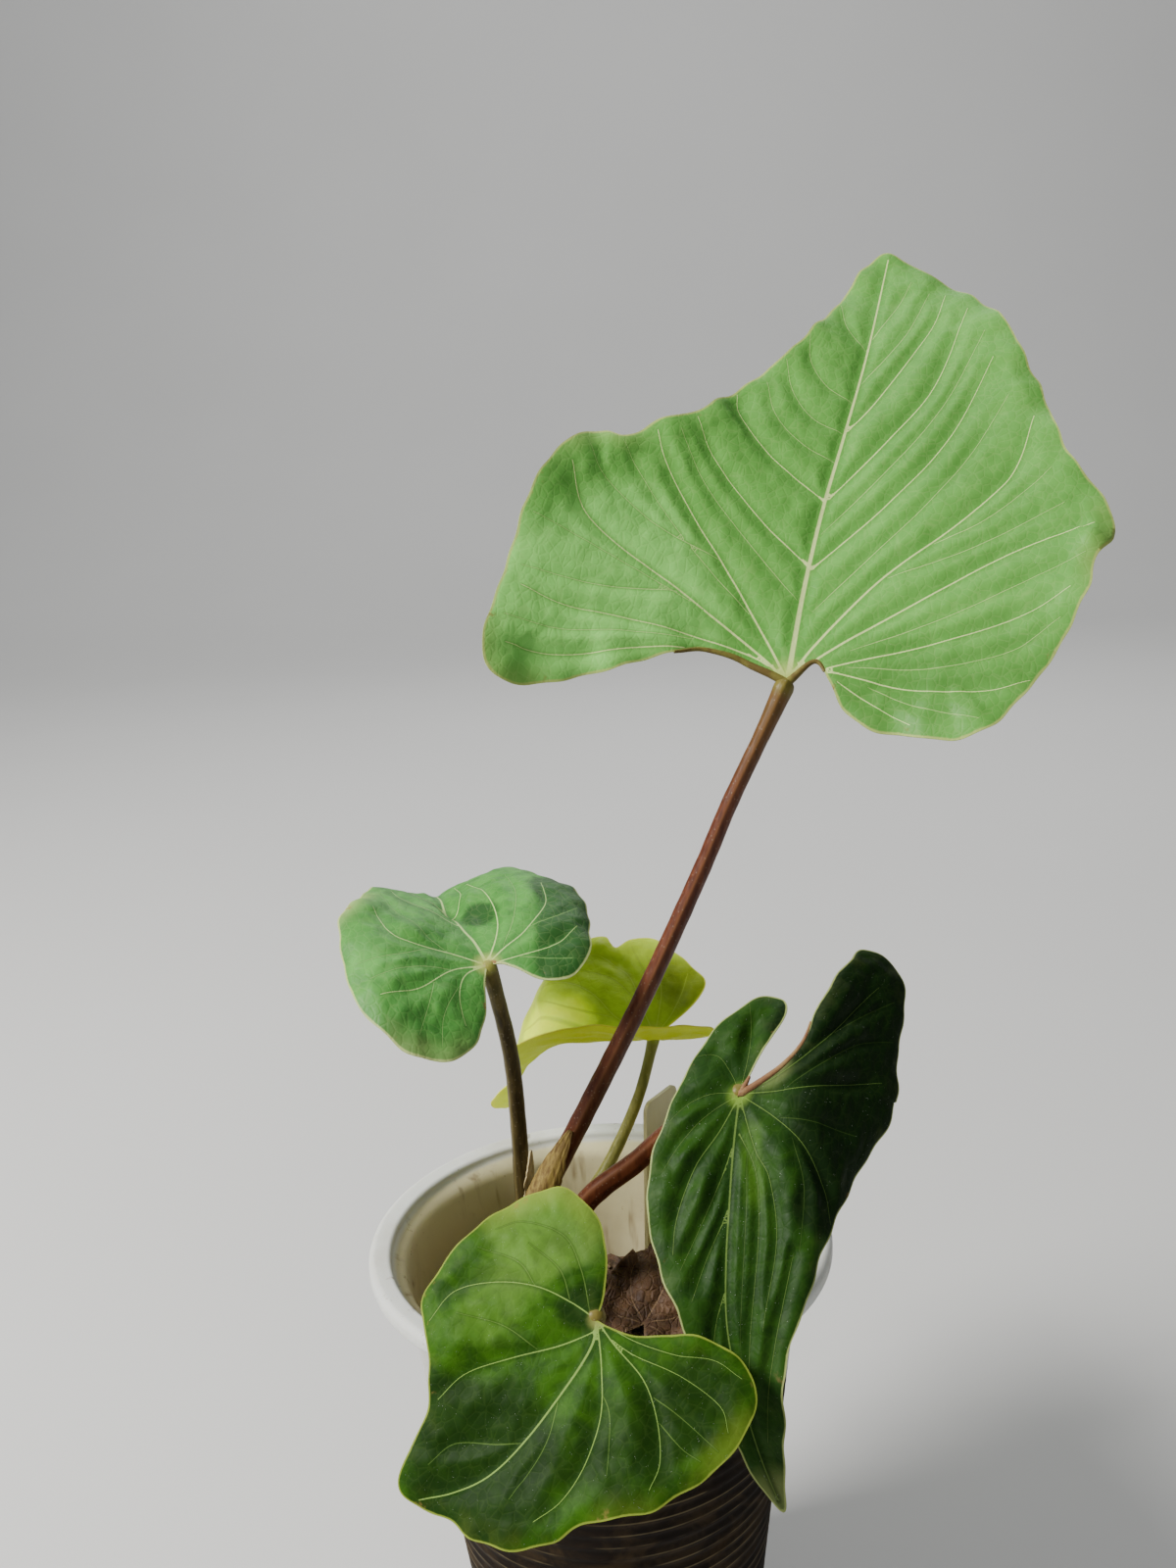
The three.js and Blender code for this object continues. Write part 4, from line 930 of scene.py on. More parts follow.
def stalk_mesh(name, points, radii, flat_turn, joint_swell=0.35, joint_length=9.0):
    """A stalk carried along its path from the blade down. It reaches a little into the blade, where its end
    is rounded. The section is a circle with nine faint ribs, one side pressed flat and a soft edge raised on
    either side of the flat. Its radius grows evenly, wavers a little, and swells in a bell at the joint
    under the blade."""
    path = smooth_path(points, STALK_STEP)
    top = path[0] - (path[1] - path[0]) / STALK_STEP * STALK_REACH
    path = np.vstack([top + (path[0] - top) * share for share in (0, 0.25, 0.5, 0.75)] + [path])
    forward, side, up = rod_frames(path)
    reach = path_reach(path)
    radius = radii[0] + (radii[1] - radii[0]) * np.linspace(0, 1, len(path))
    radius = radius * (1 + joint_swell * bell(reach / joint_length))
    radius = radius * (1 + 0.02 * np.sin(reach * 0.9) * np.sin(reach * 0.23 + 1))
    radius = radius * np.sqrt(1 - (1 - np.clip((reach + 0.25) / radius[0], 0, 1)) ** 2)
    angle = np.linspace(0, 2 * math.pi, STALK_SIDES, endpoint=False)
    from_flat = np.cos(angle - math.radians(flat_turn))
    pressed = 1 - 0.17 * np.clip(from_flat, 0, 1) ** 2
    edges = 0.07 * bell((np.abs(from_flat) - EDGE_AT) / EDGE_WIDTH) * (from_flat > 0)
    section = pressed + edges + 0.012 * np.cos(9 * angle)
    shaped = radius[:, None] * section[None, :]
    points = path[:, None] + shaped[..., None] * around(angle, side, up)
    tips = path[0] - forward[0] * STALK_TIP, path[-1] + forward[-1] * STALK_TIP
    piece = to_mesh(name, np.vstack([points.reshape(-1, 3), *tips]), tube_faces(len(path), STALK_SIDES), 50)
    down = np.concatenate([np.repeat(reach, STALK_SIDES), [reach[0], reach[-1]]])
    line = np.where(from_flat > 0, bell((from_flat - EDGE_AT) / EDGE_WIDTH), 0)
    keep_values(piece, down=down, edge_line=np.concatenate([np.tile(line, len(path)), [0, 0]]),
                foot=reach[-1] - down)
    return piece


def stalk_material(name, colours, joint_reach=9.0, green_top=0.35):
    """Smooth skin with long fine streaks, greener under the blade and paler along its two edges."""
    material, shader, n = new_material(name, IOR=1.45, Specular_IOR_Level=0.3)
    place = n.object_place()
    down, line, foot = n.value_of("down"), n.value_of("edge_line"), n.value_of("foot")
    streak = n.noise(n.stretched(place, (1, 1, 0.12)), 900, 4, 0.6)
    blotch = n.noise(place, 110, 4, 0.6)
    rgb = {key: (*value, 1) for key, value in colours.items()}
    tone = n.mix(n.ramp(streak, 0.35, 0.68), rgb["Skin"], rgb["Skin lit"])
    tone = n.tint(tone, rgb["Skin"], n.ramp(blotch, 0.45, 0.7), 0.4)
    tone = n.tint(tone, rgb["Edge"], line, 0.6)
    tone = n.mix(n.ramp(foot, FOOT_COLOUR_REACH, 2.0), tone, rgb["Foot"])
    tone = n.tint(tone, rgb["Joint"], n.ramp(down, 4 * joint_reach, 0.5), green_top)
    tone = n.mix(n.ramp(down, joint_reach * 0.55, joint_reach * 0.15), tone, rgb["Joint"])
    pores = n.ramp(n.cells(place, 900), 0.22, 0.1)
    tone = n.tint(tone, PORE_PALE, pores, 0.18)
    rough = n.plus(0.34, n.times(blotch, 0.2))
    n.dress(shader, tone, rough, n.plus(streak, n.times(pores, 0.3)), 0.2, 0.0005)
    return material


red_stalk = stalk_material("red_brown_stalk", RED_STALK)
large_course = [(42.9, 19, 228), (34.6, 18, 212), (27.4, 17, 196.5), (13.9, 15, 169.6), (-1.2, 13, 142),
                (-11.5, 12, 123.4), (-15.8, 11.2, 114), (-18.5, 9.5, 102)]
large_radii = (1.75, 2.7)
stalk_large = stalk_mesh("stalk_large", [(48, 20, 238), *large_course], large_radii, flat_turn=150)
finish_piece(stalk_large, red_stalk, "stalk_red", "petiole_large")

# The raised rim of the notch. Where the large leaf's lobes meet, its margin is thick and rolled, olive brown,
# and thins out along both sides of the notch.
RIM_STEP, RIM_SIDES = 0.4, 12


def sinus_rim(name, leaf, left_length, right_length, radii):
    """The rim from the joint out along both sides of the notch: a round section carried along the margin.
    Its radius falls evenly from the first value at the joint to the second at either end."""
    margin = closed_margin(leaf, RIM_STEP)
    left_steps, right_steps = round(left_length / RIM_STEP), round(right_length / RIM_STEP)
    flat = np.vstack([margin[-1 - left_steps:-1], margin[:right_steps + 1]])
    step_number = np.arange(-left_steps, right_steps + 1)
    turn = step_number / (len(margin) - 1) % 1
    lift = ripple(leaf, flat, np.zeros(len(flat)), turn)
    path = bend_flat(leaf, flat) + blade_normals(leaf, flat) * lift[:, None]
    _, side, up = rod_frames(path)
    out = np.where(step_number < 0, -step_number / left_steps, step_number / right_steps)
    radius = radii[1] + (radii[0] - radii[1]) * (1 - out)
    angle = np.linspace(0, 2 * math.pi, RIM_SIDES, endpoint=False)
    points = path[:, None] + radius[:, None, None] * around(angle, side, up)
    points = np.vstack([points.reshape(-1, 3), path[0], path[-1]])
    return to_mesh(name, points, tube_faces(len(path), RIM_SIDES), 60)


def rim_material(name, near, far):
    """Smooth skin whose two colours meet in soft blotches."""
    material, shader, n = new_material(name, IOR=1.45, Specular_IOR_Level=0.3)
    blotch = n.noise(n.object_place(), 260, 4, 0.6)
    tone = n.mix(n.ramp(blotch, 0.38, 0.62), near, far)
    n.dress(shader, tone, n.plus(0.4, n.times(blotch, 0.2)), blotch, 0.2, 0.0004)
    return material


olive_rim = rim_material("olive_rim", (0.11, 0.075, 0.018, 1), (0.17, 0.15, 0.03, 1))
finish_piece(sinus_rim("rim_large", large_leaf, 27, 11, (1.0, 0.35)), olive_rim, "leaf_light")

# The blue-green leaf at the left. A smaller, cupped blade whose tip rolls over and hangs down behind,
# with a pale rim and a few nibbled brown spots on its margin.
left_leaf = {
    "origin": (-21.6, 6, 181.1), "heading": 112, "rise": 28, "roll": -8,
    "right": [(0, 19), (12, 3), (30, -38)], "left": [(0, 22), (14, 26), (22, 14), (32, -30)],
    "front": [(0, 0), (60, -64)], "back": [(0, 0), (20, -30)],
    "ripple": (9, 0.6, 1.1), "ripple_depth": 12, "spacing": 0.6,
    "quilt": 0.75, "pucker": 0.09, "groove": 2.2, "rib": 0.16, "lumps": 0.2, "seed": 8, "scallop": 0.3,
    "faded": [(-26, 26, 9, 0.9), (-20, -18, 10, 0.5)],
    # Deep spots here are painted shade, most of it the shadow that the large leaf casts on the right lobe;
    # the negative one paints light.
    "deep": [(28, 9, 10.5, 1.0), (21, 3, 8, 1.0), (17, -6, 8, 1.0), (25, 20, 8, 1.0), (4, 18, 5, 1.0),
             (-24, -14, 9, 0.4), (-26, 6, 8, -0.7)],
    "swellings": [(4, 17, 3.5, 7, -2.2), (-1.5, 25, 2.5, 6, -2.2), (5, 27, 4, 3.5, 1.0), (-8, 22, 4, 5, 0.8),
                  (-24, 22, 3, 4, 1.4), (-14, 12, 4, 4, 0.8)],
    "outline": [
        (3, -1), (5, -3), (9, -7.5), (13, -9.5), (18, -9), (22, -6), (26, 1), (29, 10), (29, 20), (25, 31),
        (18, 43), (9, 53), (0, 60), (-6, 55), (-12, 48), (-17, 41), (-20, 35), (-24, 27), (-29, 19),
        (-32, 11), (-33, 2), (-31, -8), (-26, -16), (-18, -19.5), (-11, -18.5), (-6, -14.5), (-3.5, -9),
        (-2, -4)],
    "veins": [
        (0.9, 0.3, [(0, 0), (-0.5, 8), (-1.5, 14), (-2, 26), (-1, 42), (0, 58)]),
        (0.55, 0.15, [(0, 0), (-7.5, 4.5), (-16, 7.5), (-20, 11), (-21.5, 20)]),
        (0.5, 0.15, [(0, 0), (-8.5, -0.5), (-18, -4.5), (-27, -5)]),
        (0.45, 0.15, [(0, 0), (-6, -2), (-9.5, -7), (-11, -14)]),
        (0.5, 0.15, [(0, 0), (4.5, 6.5), (7, 13.5), (8, 24), (6, 38)]),
        (0.5, 0.15, [(0, 0), (5, 2.5), (11.5, 5.5), (19, 13), (21, 22)]),
        (0.4, 0.12, [(0, 0), (7.5, -1), (16.5, -1), (23, 3)]),
        (0.35, 0.12, [(-1.5, 15), (-7, 21), (-12, 29), (-14, 36)]),
        (0.3, 0.12, [(-2, 27), (-6, 34), (-8, 44)]),
        (0.3, 0.12, [(-1.8, 22), (3, 31), (4, 42)])],
    "fine_veins": [
        (0.2, 0.08, [(-12, 6), (-20, 4), (-30, 4)]),
        (0.2, 0.08, [(-14, -3), (-18, -9), (-22, -14)]),
        (0.2, 0.08, [(-7, 4), (-12, 10), (-16, 20), (-18, 30)]),
        (0.2, 0.08, [(-9, -5), (-15, -11), (-18, -17)]),
        (0.2, 0.08, [(-8, -0.5), (-17, 0.5), (-28, -1)]),
        (0.2, 0.08, [(5, 3), (10, 10), (14, 20), (15, 32)]),
        (0.2, 0.08, [(12, 6), (19, 7), (26, 10)]),
        (0.2, 0.08, [(7, -1), (13, -4), (18, -6)])],
}
left_skin = leaf_material(
    "blue_green_leaf",
    {"Lamina": (0.085, 0.30, 0.048), "Lamina deep": (0.036, 0.165, 0.024), "Vein": (0.42, 0.58, 0.20),
     "Margin": (0.48, 0.56, 0.20), "Heart": (0.48, 0.55, 0.12), "Under": (0.16, 0.30, 0.09),
     "Withered": (0.25, 0.12, 0.05), "Sunlit": (0.06, 0.14, 0.04)},
    {"Net": 0.14, "Margin width": 0.38, "Patch": 0.8, "Heart reach": 4.5, "Dust": 0.4,
     "Wither": 1.0, "Shine": 0.42, "Shade weight": 0.95},
    bump_strength=0.15, IOR=1.42, Specular_IOR_Level=0.3)
blade_left = blade_mesh("leaf_left", left_leaf)
finish_piece(blade_left, left_skin, "leaf_blue", "blade_left")

# The left leaf's stalk. It is olive brown and a little thinner than the large one's, and rises almost
# straight from the back of the crown.
OLIVE_STALK = {"Skin": (0.040, 0.028, 0.010), "Skin lit": (0.10, 0.072, 0.024), "Foot": (0.16, 0.11, 0.035),
               "Joint": (0.25, 0.25, 0.05), "Edge": (0.20, 0.16, 0.06)}
olive_stalk = stalk_material("olive_stalk", OLIVE_STALK, joint_reach=5.0, green_top=0.15)
left_course = [(-20.5, 9, 174), (-18.2, 13, 155.3), (-17.9, 17, 133.3), (-18.1, 18.6, 118.3),
               (-17.6, 18.8, 101)]
left_radii = (1.7, 2.1)
stalk_left = stalk_mesh("stalk_left", [(-21.6, 6.4, 180.6), *left_course], left_radii, flat_turn=60,
                        joint_swell=0.25, joint_length=6.0)
finish_piece(stalk_left, olive_stalk, "stalk_olive", "petiole_left")

# The young leaf at the back. It is thin and still yellow-green, light shines into it, and its blade
# drops away steeply on one side of the midrib.
young_leaf = {
    "origin": (15.9, 34, 149.6), "heading": 176.7, "rise": -0.7, "roll": -42,
    "right": [(0, 4), (25, -14)], "left": [(0, 60), (6, 80), (25, 84)],
    "front": [(0, 4), (22, -8), (29, -56), (60, -80)], "back": [(0, -4), (14, -5)],
    "ripple": (8, 0.5, 0.2), "ripple_depth": 12, "spacing": 0.6,
    "quilt": 0.6, "pucker": 0.1, "groove": 2.2, "rib": 0.15, "lumps": 0.25, "seed": 12, "scallop": 0.3,
    "faded": [(14, 36, 14, 0.8), (-3, 62, 9, 0.6)],
    # Deep spots are painted shade on the right lobe, and the negative ones paint light in a bright band
    # beside the midrib.
    "deep": [(14, -8, 10, 0.6), (5, 22, 8, -1.0), (6, 34, 7, -1.0)],
    "swellings": [(26, 13, 2.5, 2, 2.0), (22, 8, 3, 2, -1.5), (14, 26, 3, 8, 0.8)],
    "outline": [
        (2, -3), (6, -8), (11, -12), (16, -13), (20, -9.5), (25, -5), (28.5, 0), (28.5, 5), (26.5, 9),
        (28, 10.5), (30, 12), (29.5, 17), (27, 24), (22, 32), (15, 40), (8, 47), (3.5, 53), (2, 60),
        (1, 66), (-1.5, 69), (-5, 67), (-8, 61), (-7, 55), (-4, 49), (-4, 44), (-7, 38), (-12, 31),
        (-16, 23), (-18, 13), (-18, 3), (-16, -7), (-13, -13), (-9, -14), (-5, -10), (-2.5, -5)],
    "veins": [
        (0.9, 0.25, [(0, 0), (0, 20), (0, 40), (0, 52), (-2, 60), (-2.5, 67)]),
        (0.45, 0.12, [(0, 0), (5, 9), (12, 15), (16, 22), (17, 31)]),
        (0.45, 0.12, [(0, 0), (8, 3), (17, 6), (23, 13), (24, 20)]),
        (0.45, 0.12, [(0, 0), (7.5, -1.5), (14, -2), (22, 1)]),
        (0.4, 0.12, [(0, 0), (5, -4), (11, -7), (17, -9)]),
        (0.4, 0.12, [(0, 13), (5, 22), (9, 32), (9, 42)]),
        (0.45, 0.12, [(0, 0), (-5, 9), (-9, 18), (-10, 30)]),
        (0.4, 0.12, [(0, 0), (-8, 4), (-14, 10), (-15, 18)]),
        (0.4, 0.12, [(0, 0), (-7, -3), (-12, -7)])],
    "fine_veins": [
        (0.2, 0.08, [(5, 9), (8, 19), (13, 30)]),
        (0.2, 0.08, [(8, 3), (16, 10), (20, 20)]),
        (0.2, 0.08, [(8, -1.5), (18, 2), (26, 5)]),
        (0.2, 0.08, [(-5, 9), (-11, 14), (-14, 24)])],
}
# Painted light: the underside is far brighter and yellower than the upper face, for light shining through the
# thin blade.
young_skin = leaf_material(
    "young_leaf",
    {"Lamina": (0.46, 0.62, 0.02), "Lamina deep": (0.28, 0.38, 0.015), "Vein": (0.55, 0.65, 0.10),
     "Margin": (0.60, 0.62, 0.08), "Heart": (0.40, 0.46, 0.08), "Under": (0.80, 0.92, 0.03),
     "Withered": (0.35, 0.22, 0.05), "Sunlit": (0.50, 0.60, 0.0)},
    {"Net": 0.12, "Fine strength": 0.3, "Margin width": 0.3, "Patch": 0.6, "Heart reach": 5.0, "Dust": 0.1,
     "Wither": 0.1, "Shine": 0.42, "Vein strength": 0.4, "Sunlit weight": 0.7},
    bump_strength=0.12, IOR=1.42, Specular_IOR_Level=0.25, Subsurface_Weight=0.6,
    Subsurface_Radius=(1.0, 1.0, 0.15), Subsurface_Scale=0.0012)
blade_young = blade_mesh("leaf_young", young_leaf)
finish_piece(blade_young, young_skin, "leaf_young", "blade_young")

# The young leaf's stalk. It is pale olive green and the thinnest of the five, and bows out towards the back
# of the cup.
PALE_STALK = {"Skin": (0.17, 0.165, 0.035), "Skin lit": (0.28, 0.27, 0.07), "Foot": (0.28, 0.25, 0.10),
              "Joint": (0.36, 0.42, 0.06), "Edge": (0.40, 0.38, 0.14)}
pale_stalk = stalk_material("pale_stalk", PALE_STALK, joint_reach=5.0, green_top=0.3)
stalk_young = stalk_mesh("stalk_young", [
    (15.8, 34, 149), (12.1, 33, 136.4), (7.9, 31, 127.1), (2.6, 28, 118.3), (-3.4, 23.6, 111),
    (-9.5, 17.5, 101)], (1.3, 1.9), joint_swell=0.25, joint_length=5.0, flat_turn=100)
finish_piece(stalk_young, pale_stalk, "stalk_pale", "petiole_young")

# The deep green leaf at the right. Its halves fold down along the midrib and a second crease, the blade is
# strongly quilted between its veins, and the tip hangs almost straight down.
right_leaf = {
    "origin": (30.7, -23, 160.8), "heading": -91.1, "rise": -45.7, "roll": 6.4,
    "right": [(0, 12), (20, -14)], "left": [(0, 12), (10, 4), (13, -8), (18, -42), (45, -40)],
    "front": [(0, 0), (40, -8), (79, -34)], "back": [(0, -4), (32, -25)],
    "sway_front": [(0, 14), (40, 2), (79, -22)], "sway_back": [(0, -16), (30, -22)],
    "ripple": (10, 0.5, 0.9), "ripple_depth": 12.6, "spacing": 0.6,
    "quilt": 1.4, "pucker": 0.1, "groove": 2.0, "rib": 0.3, "lumps": 0.12, "seed": 21, "scallop": 0.3,
    "faded": [(0, 76, 5, 0.8), (-6, -4, 4, 0.7)],
    # Deep spots are painted shade that darkens the half which bends away, and the row of weak negative ones
    # paints light along the crease from the stalk.
    "deep": [(-28, -16, 24, 1.0), (-26, 10, 14, 1.0), (-18, 24, 6, 0.8), (-12, -16, 8, 0.8),
             *[(-3 - 0.3 * step, 6 + 2 * step, 3.0, -0.3) for step in range(9)]],
    "swellings": [(7.5, -2, 3, 2, 1.6), (9, 4, 3.5, 2.2, 1.8), (9.5, 11.5, 3, 2.5, 1.6), (5, -8, 2.5, 2, 1.3),
                  (4, -13.5, 2.2, 2, 1.2), (2.5, -18, 2, 2, 0.8), (5.5, 20, 2, 4, 0.8)],
    "outline": [
        (-3, -9), (-5.5, -17), (-4, -22), (1, -23), (7, -18), (11, -10), (14, 0), (16.5, 12), (16.5, 23),
        (14, 33), (10, 43), (6, 57), (3.5, 70), (0.5, 79.5), (-5, 66), (-10, 51), (-15, 41), (-21, 29),
        (-28, 18), (-35, 8), (-37, 0), (-36, -10), (-34, -22), (-30, -33), (-24, -37), (-18, -36),
        (-16, -31), (-14, -25), (-12, -16), (-11, -10), (-8, -5.5), (-5, -3)],
    "veins": [
        (0.5, 0.25, [(0, 0), (0, 20), (0.5, 32), (1, 45), (0.5, 60), (0.5, 77)]),
        (0.3, 0.1, [(0, 0), (3, 7), (7.5, 14.5), (10.5, 24), (11, 31)]),
        (0.12, 0.06, [(0, 10), (2, 17), (5, 24.5), (9.5, 34)]),
        (0.12, 0.06, [(0, 22), (1.5, 26), (4.5, 32.5), (7.5, 40)]),
        (0.12, 0.06, [(0.8, 38), (3, 44), (5, 52)]),
        (0.12, 0.06, [(0, 0), (5, 3), (10, 8), (14, 15)]),
        (0.12, 0.06, [(0, 0), (5, -0.5), (10, 1), (14, 5)]),
        (0.12, 0.06, [(0, 0), (3, -5), (7, -9), (11, -9)]),
        (0.12, 0.06, [(0, 0), (0, -8), (1, -15), (3, -21)]),
        (0.2, 0.06, [(0, 0), (-4.5, 11.5), (-8, 18), (-9.5, 30), (-6, 46)]),
        (0.12, 0.06, [(-1, 8), (-5, 16), (-6, 26.5), (-5, 37), (-3, 48), (-1, 58)]),
        (0.12, 0.06, [(-13, 32), (-10.5, 40.5), (-7.5, 49.5), (-4.5, 58), (-2, 66)]),
        (0.25, 0.08, [(0, 0), (-9, 0), (-19, -1), (-32, -4)]),
        (0.25, 0.08, [(0, 0), (-8, 5.5), (-15, 12), (-20, 20), (-21, 27)]),
        (0.25, 0.08, [(0, 0), (-7, -3), (-13, -8), (-19, -15), (-25, -27)])],
    "fine_veins": [
        (0.2, 0.08, [(-9, 0), (-17, -6), (-25, -12), (-33, -15)]),
        (0.2, 0.08, [(-8, 5.5), (-17, 7), (-27, 9)]),
        (0.2, 0.08, [(-3, 12), (-3.5, 24), (-2.5, 38), (-1, 50)]),
        (0.2, 0.08, [(-15, -10), (-23, -18), (-30, -25)]),
        (0.2, 0.08, [(-12, 10), (-15, 20), (-14, 32)])],
}
right_skin = leaf_material(
    "deep_leaf",
    {"Lamina": (0.017, 0.060, 0.003), "Lamina deep": (0.005, 0.026, 0.0015), "Vein": (0.15, 0.24, 0.05),
     "Margin": (0.36, 0.42, 0.14), "Heart": (0.20, 0.34, 0.04), "Under": (0.07, 0.14, 0.03),
     "Withered": (0.30, 0.15, 0.08), "Sunlit": (0.06, 0.12, 0.01)},
    {"Net": 0.06, "Fine strength": 0.2, "Margin width": 0.3, "Patch": 0.75, "Heart reach": 3.6, "Dust": 0.9,
     "Wither": 0.3, "Shine": 0.44, "Vein strength": 0.7, "Shade weight": 0.9, "Sunlit weight": 0.4},
    bump_strength=0.1, IOR=1.45, Specular_IOR_Level=0.15)
blade_right = blade_mesh("leaf_right", right_leaf)
finish_piece(blade_right, right_skin, "leaf_deep", "blade_right")

# The rim of the right leaf's notch. It is thinner and redder than the large leaf's, and runs
# further along the left side.
brown_rim = rim_material("brown_rim", (0.20, 0.095, 0.045, 1), (0.28, 0.17, 0.07, 1))
finish_piece(sinus_rim("rim_right", right_leaf, 20, 4, (0.85, 0.3)), brown_rim, "leaf_deep")

# The right leaf's stalk. It is red-brown like the large one's, short and stout, and arches over the mix
# towards the rim of the cup.
stalk_right = stalk_mesh("stalk_right", [
    (30.8, -22, 160.6), (29.5, -15, 157.5), (25, -9.5, 151.5), (18.3, -4, 144.5), (9.3, 2, 133.4),
    (-3.6, 6, 120.5), (-9.5, 9, 102)], (1.9, 2.8), joint_swell=0.15, joint_length=6.0, flat_turn=120)
finish_piece(stalk_right, red_stalk, "stalk_red", "petiole_right")

# The glossy leaf in front. A broad heart tipped towards the viewer, puffed between bold pale veins, with
# margins that fade to yellow and tan.
front_leaf = {
    "origin": (-1.1, -50, 128.3), "heading": -150.6, "rise": -27.5, "roll": -33.1,
    "right": [(0, 10), (30, -12)], "left": [(0, 10), (35, -8)],
    "front": [(0, 0), (48, -24)], "back": [(0, 0), (18, -8)],
    "ripple": (9, 0.4, 0.5), "ripple_depth": 12, "spacing": 0.6,
    "quilt": 1.2, "pucker": 0.09, "groove": 3.0, "rib": 0.25, "lumps": 0.15, "seed": 5, "scallop": 0.35,
    "faded": [(25, -8, 12, 0.8), (-35, -2, 8, 0.45), (-30, 20, 8, 0.2), (-14, 42, 8, 0.1)],
    # Deep spots are painted shade, darkest in a shadow at the stalk and over the lower part; the negative
    # ones paint light on the upper lobe.
    "deep": [(-4, 34, 17, 1.0), (-22, 12, 12, 0.6), (-24, -4, 10, 0.7), (5, 0, 6, 0.9), (12, 34, 8, 0.5),
             (20, -5, 13, -1.0), (16, 14, 9, -0.5)],
    "swellings": [(-24, 30, 3, 3, 1.2), (16, 22, 5, 5, 1.0), (-12, 5, 5, 2.5, 0.8)],
    "outline": [
        (3, -5), (8, -10), (14, -13), (20, -13.5), (26, -11), (29, -4), (30.5, 5), (30, 16), (27, 23.5),
        (20, 27), (14, 32), (10, 38), (8, 45), (5, 48.5), (0, 48), (-6, 45), (-12, 43), (-18, 38.5),
        (-23, 32), (-25, 25.5), (-32, 14), (-35, 3), (-34, -6), (-31, -12.5), (-27, -15), (-20, -14),
        (-14, -10), (-8, -4), (-3, -1)],
    "veins": [
        (0.6, 0.25, [(0, 0), (-3, 4), (-5, 12), (-6.5, 24), (-6, 33.5), (-3, 41), (1, 47)]),
        (0.35, 0.12, [(0, 0), (6, 1.5), (13, 4.5), (19.5, 10), (24, 17), (23, 24)]),
        (0.42, 0.12, [(-1.5, 1.5), (1.5, 8.5), (6.5, 17), (10.5, 25), (11, 32)]),
        (0.42, 0.12, [(0, 0), (-7, 5), (-13.5, 11), (-17.5, 18.5), (-19, 26), (-18, 32)]),
        (0.38, 0.12, [(0, 0), (-6, 0.7), (-14.5, 1), (-21.5, 4), (-27, 8.5), (-29, 13)]),
        (0.22, 0.08, [(-4, 0.6), (-10, -0.8), (-19, -4.6), (-27.5, -6.2), (-32, -4)]),
        (0.22, 0.08, [(0, 0), (-8, -2.5), (-15.5, -6.5), (-21, -11), (-27, -12.5)])],
    "fine_veins": [
        (0.22, 0.08, [(2, 0), (9, -4), (16.5, -6), (24.5, -2), (27, 3)]),
        (0.22, 0.08, [(-6.5, 25), (-3, 29), (3, 35), (4, 41)]),
        (0.22, 0.08, [(-17, 2), (-24, 0.5), (-33, -0.5)]),
        (0.22, 0.08, [(-22, 4), (-28, 4), (-32, 3)]),
        (0.22, 0.08, [(13, 4.5), (19, 4), (27, 8)]),
        (0.22, 0.08, [(4, 12), (12, 14), (20, 19)]),
        (0.22, 0.08, [(-10, 8), (-15, 10), (-22, 17)]),
        (0.22, 0.08, [(-5, 14), (-10, 22), (-12, 33)]),
        (0.22, 0.08, [(6, 1.5), (12, -1), (20, 0)])],
}
front_skin = leaf_material(
    "glossy_leaf",
    {"Lamina": (0.036, 0.112, 0.004), "Lamina deep": (0.010, 0.042, 0.002), "Vein": (0.24, 0.38, 0.08),
     "Margin": (0.25, 0.32, 0.04), "Heart": (0.24, 0.26, 0.07), "Under": (0.12, 0.20, 0.04),
     "Withered": (0.28, 0.18, 0.05), "Sunlit": (0.09, 0.15, 0.03)},
    {"Net": 0.06, "Fine strength": 0.3, "Margin width": 0.32, "Patch": 0.85, "Heart reach": 2.6, "Dust": 0.6,
     "Wither": 0.6, "Shine": 0.46, "Fade": 0.65, "Vein strength": 0.85, "Shade weight": 0.8, "Sunlit weight": 0.7},
    bump_strength=0.08, IOR=1.47, Specular_IOR_Level=0.1)
blade_front = blade_mesh("leaf_front", front_leaf)
finish_piece(blade_front, front_skin, "leaf_gloss", "blade_front")

# The front leaf's stalk. It leans out from the crown over the rim of the cup, bends level there, and carries
# the blade from behind.
stalk_front = stalk_mesh("stalk_front", [
    (-1.3, -49, 127.8), (-2.2, -42, 127.4), (-4, -30, 125), (-8, -12, 116.5), (-12, 1, 107),
    (-13.5, 6, 99)], (1.8, 2.4), joint_swell=0.15, joint_length=6.0, flat_turn=90)
finish_piece(stalk_front, red_stalk, "stalk_red", "petiole_front")

# Dry sheaths. Each is the papery scale that wrapped a leaf before it opened, now split, standing round
# the foot of its stalk and ending in a frayed point.
SHEATH_ROWS, SHEATH_COLUMNS = 60, 36
SHEATH_WALL = 0.45
FIBRE_SCALE = 1100


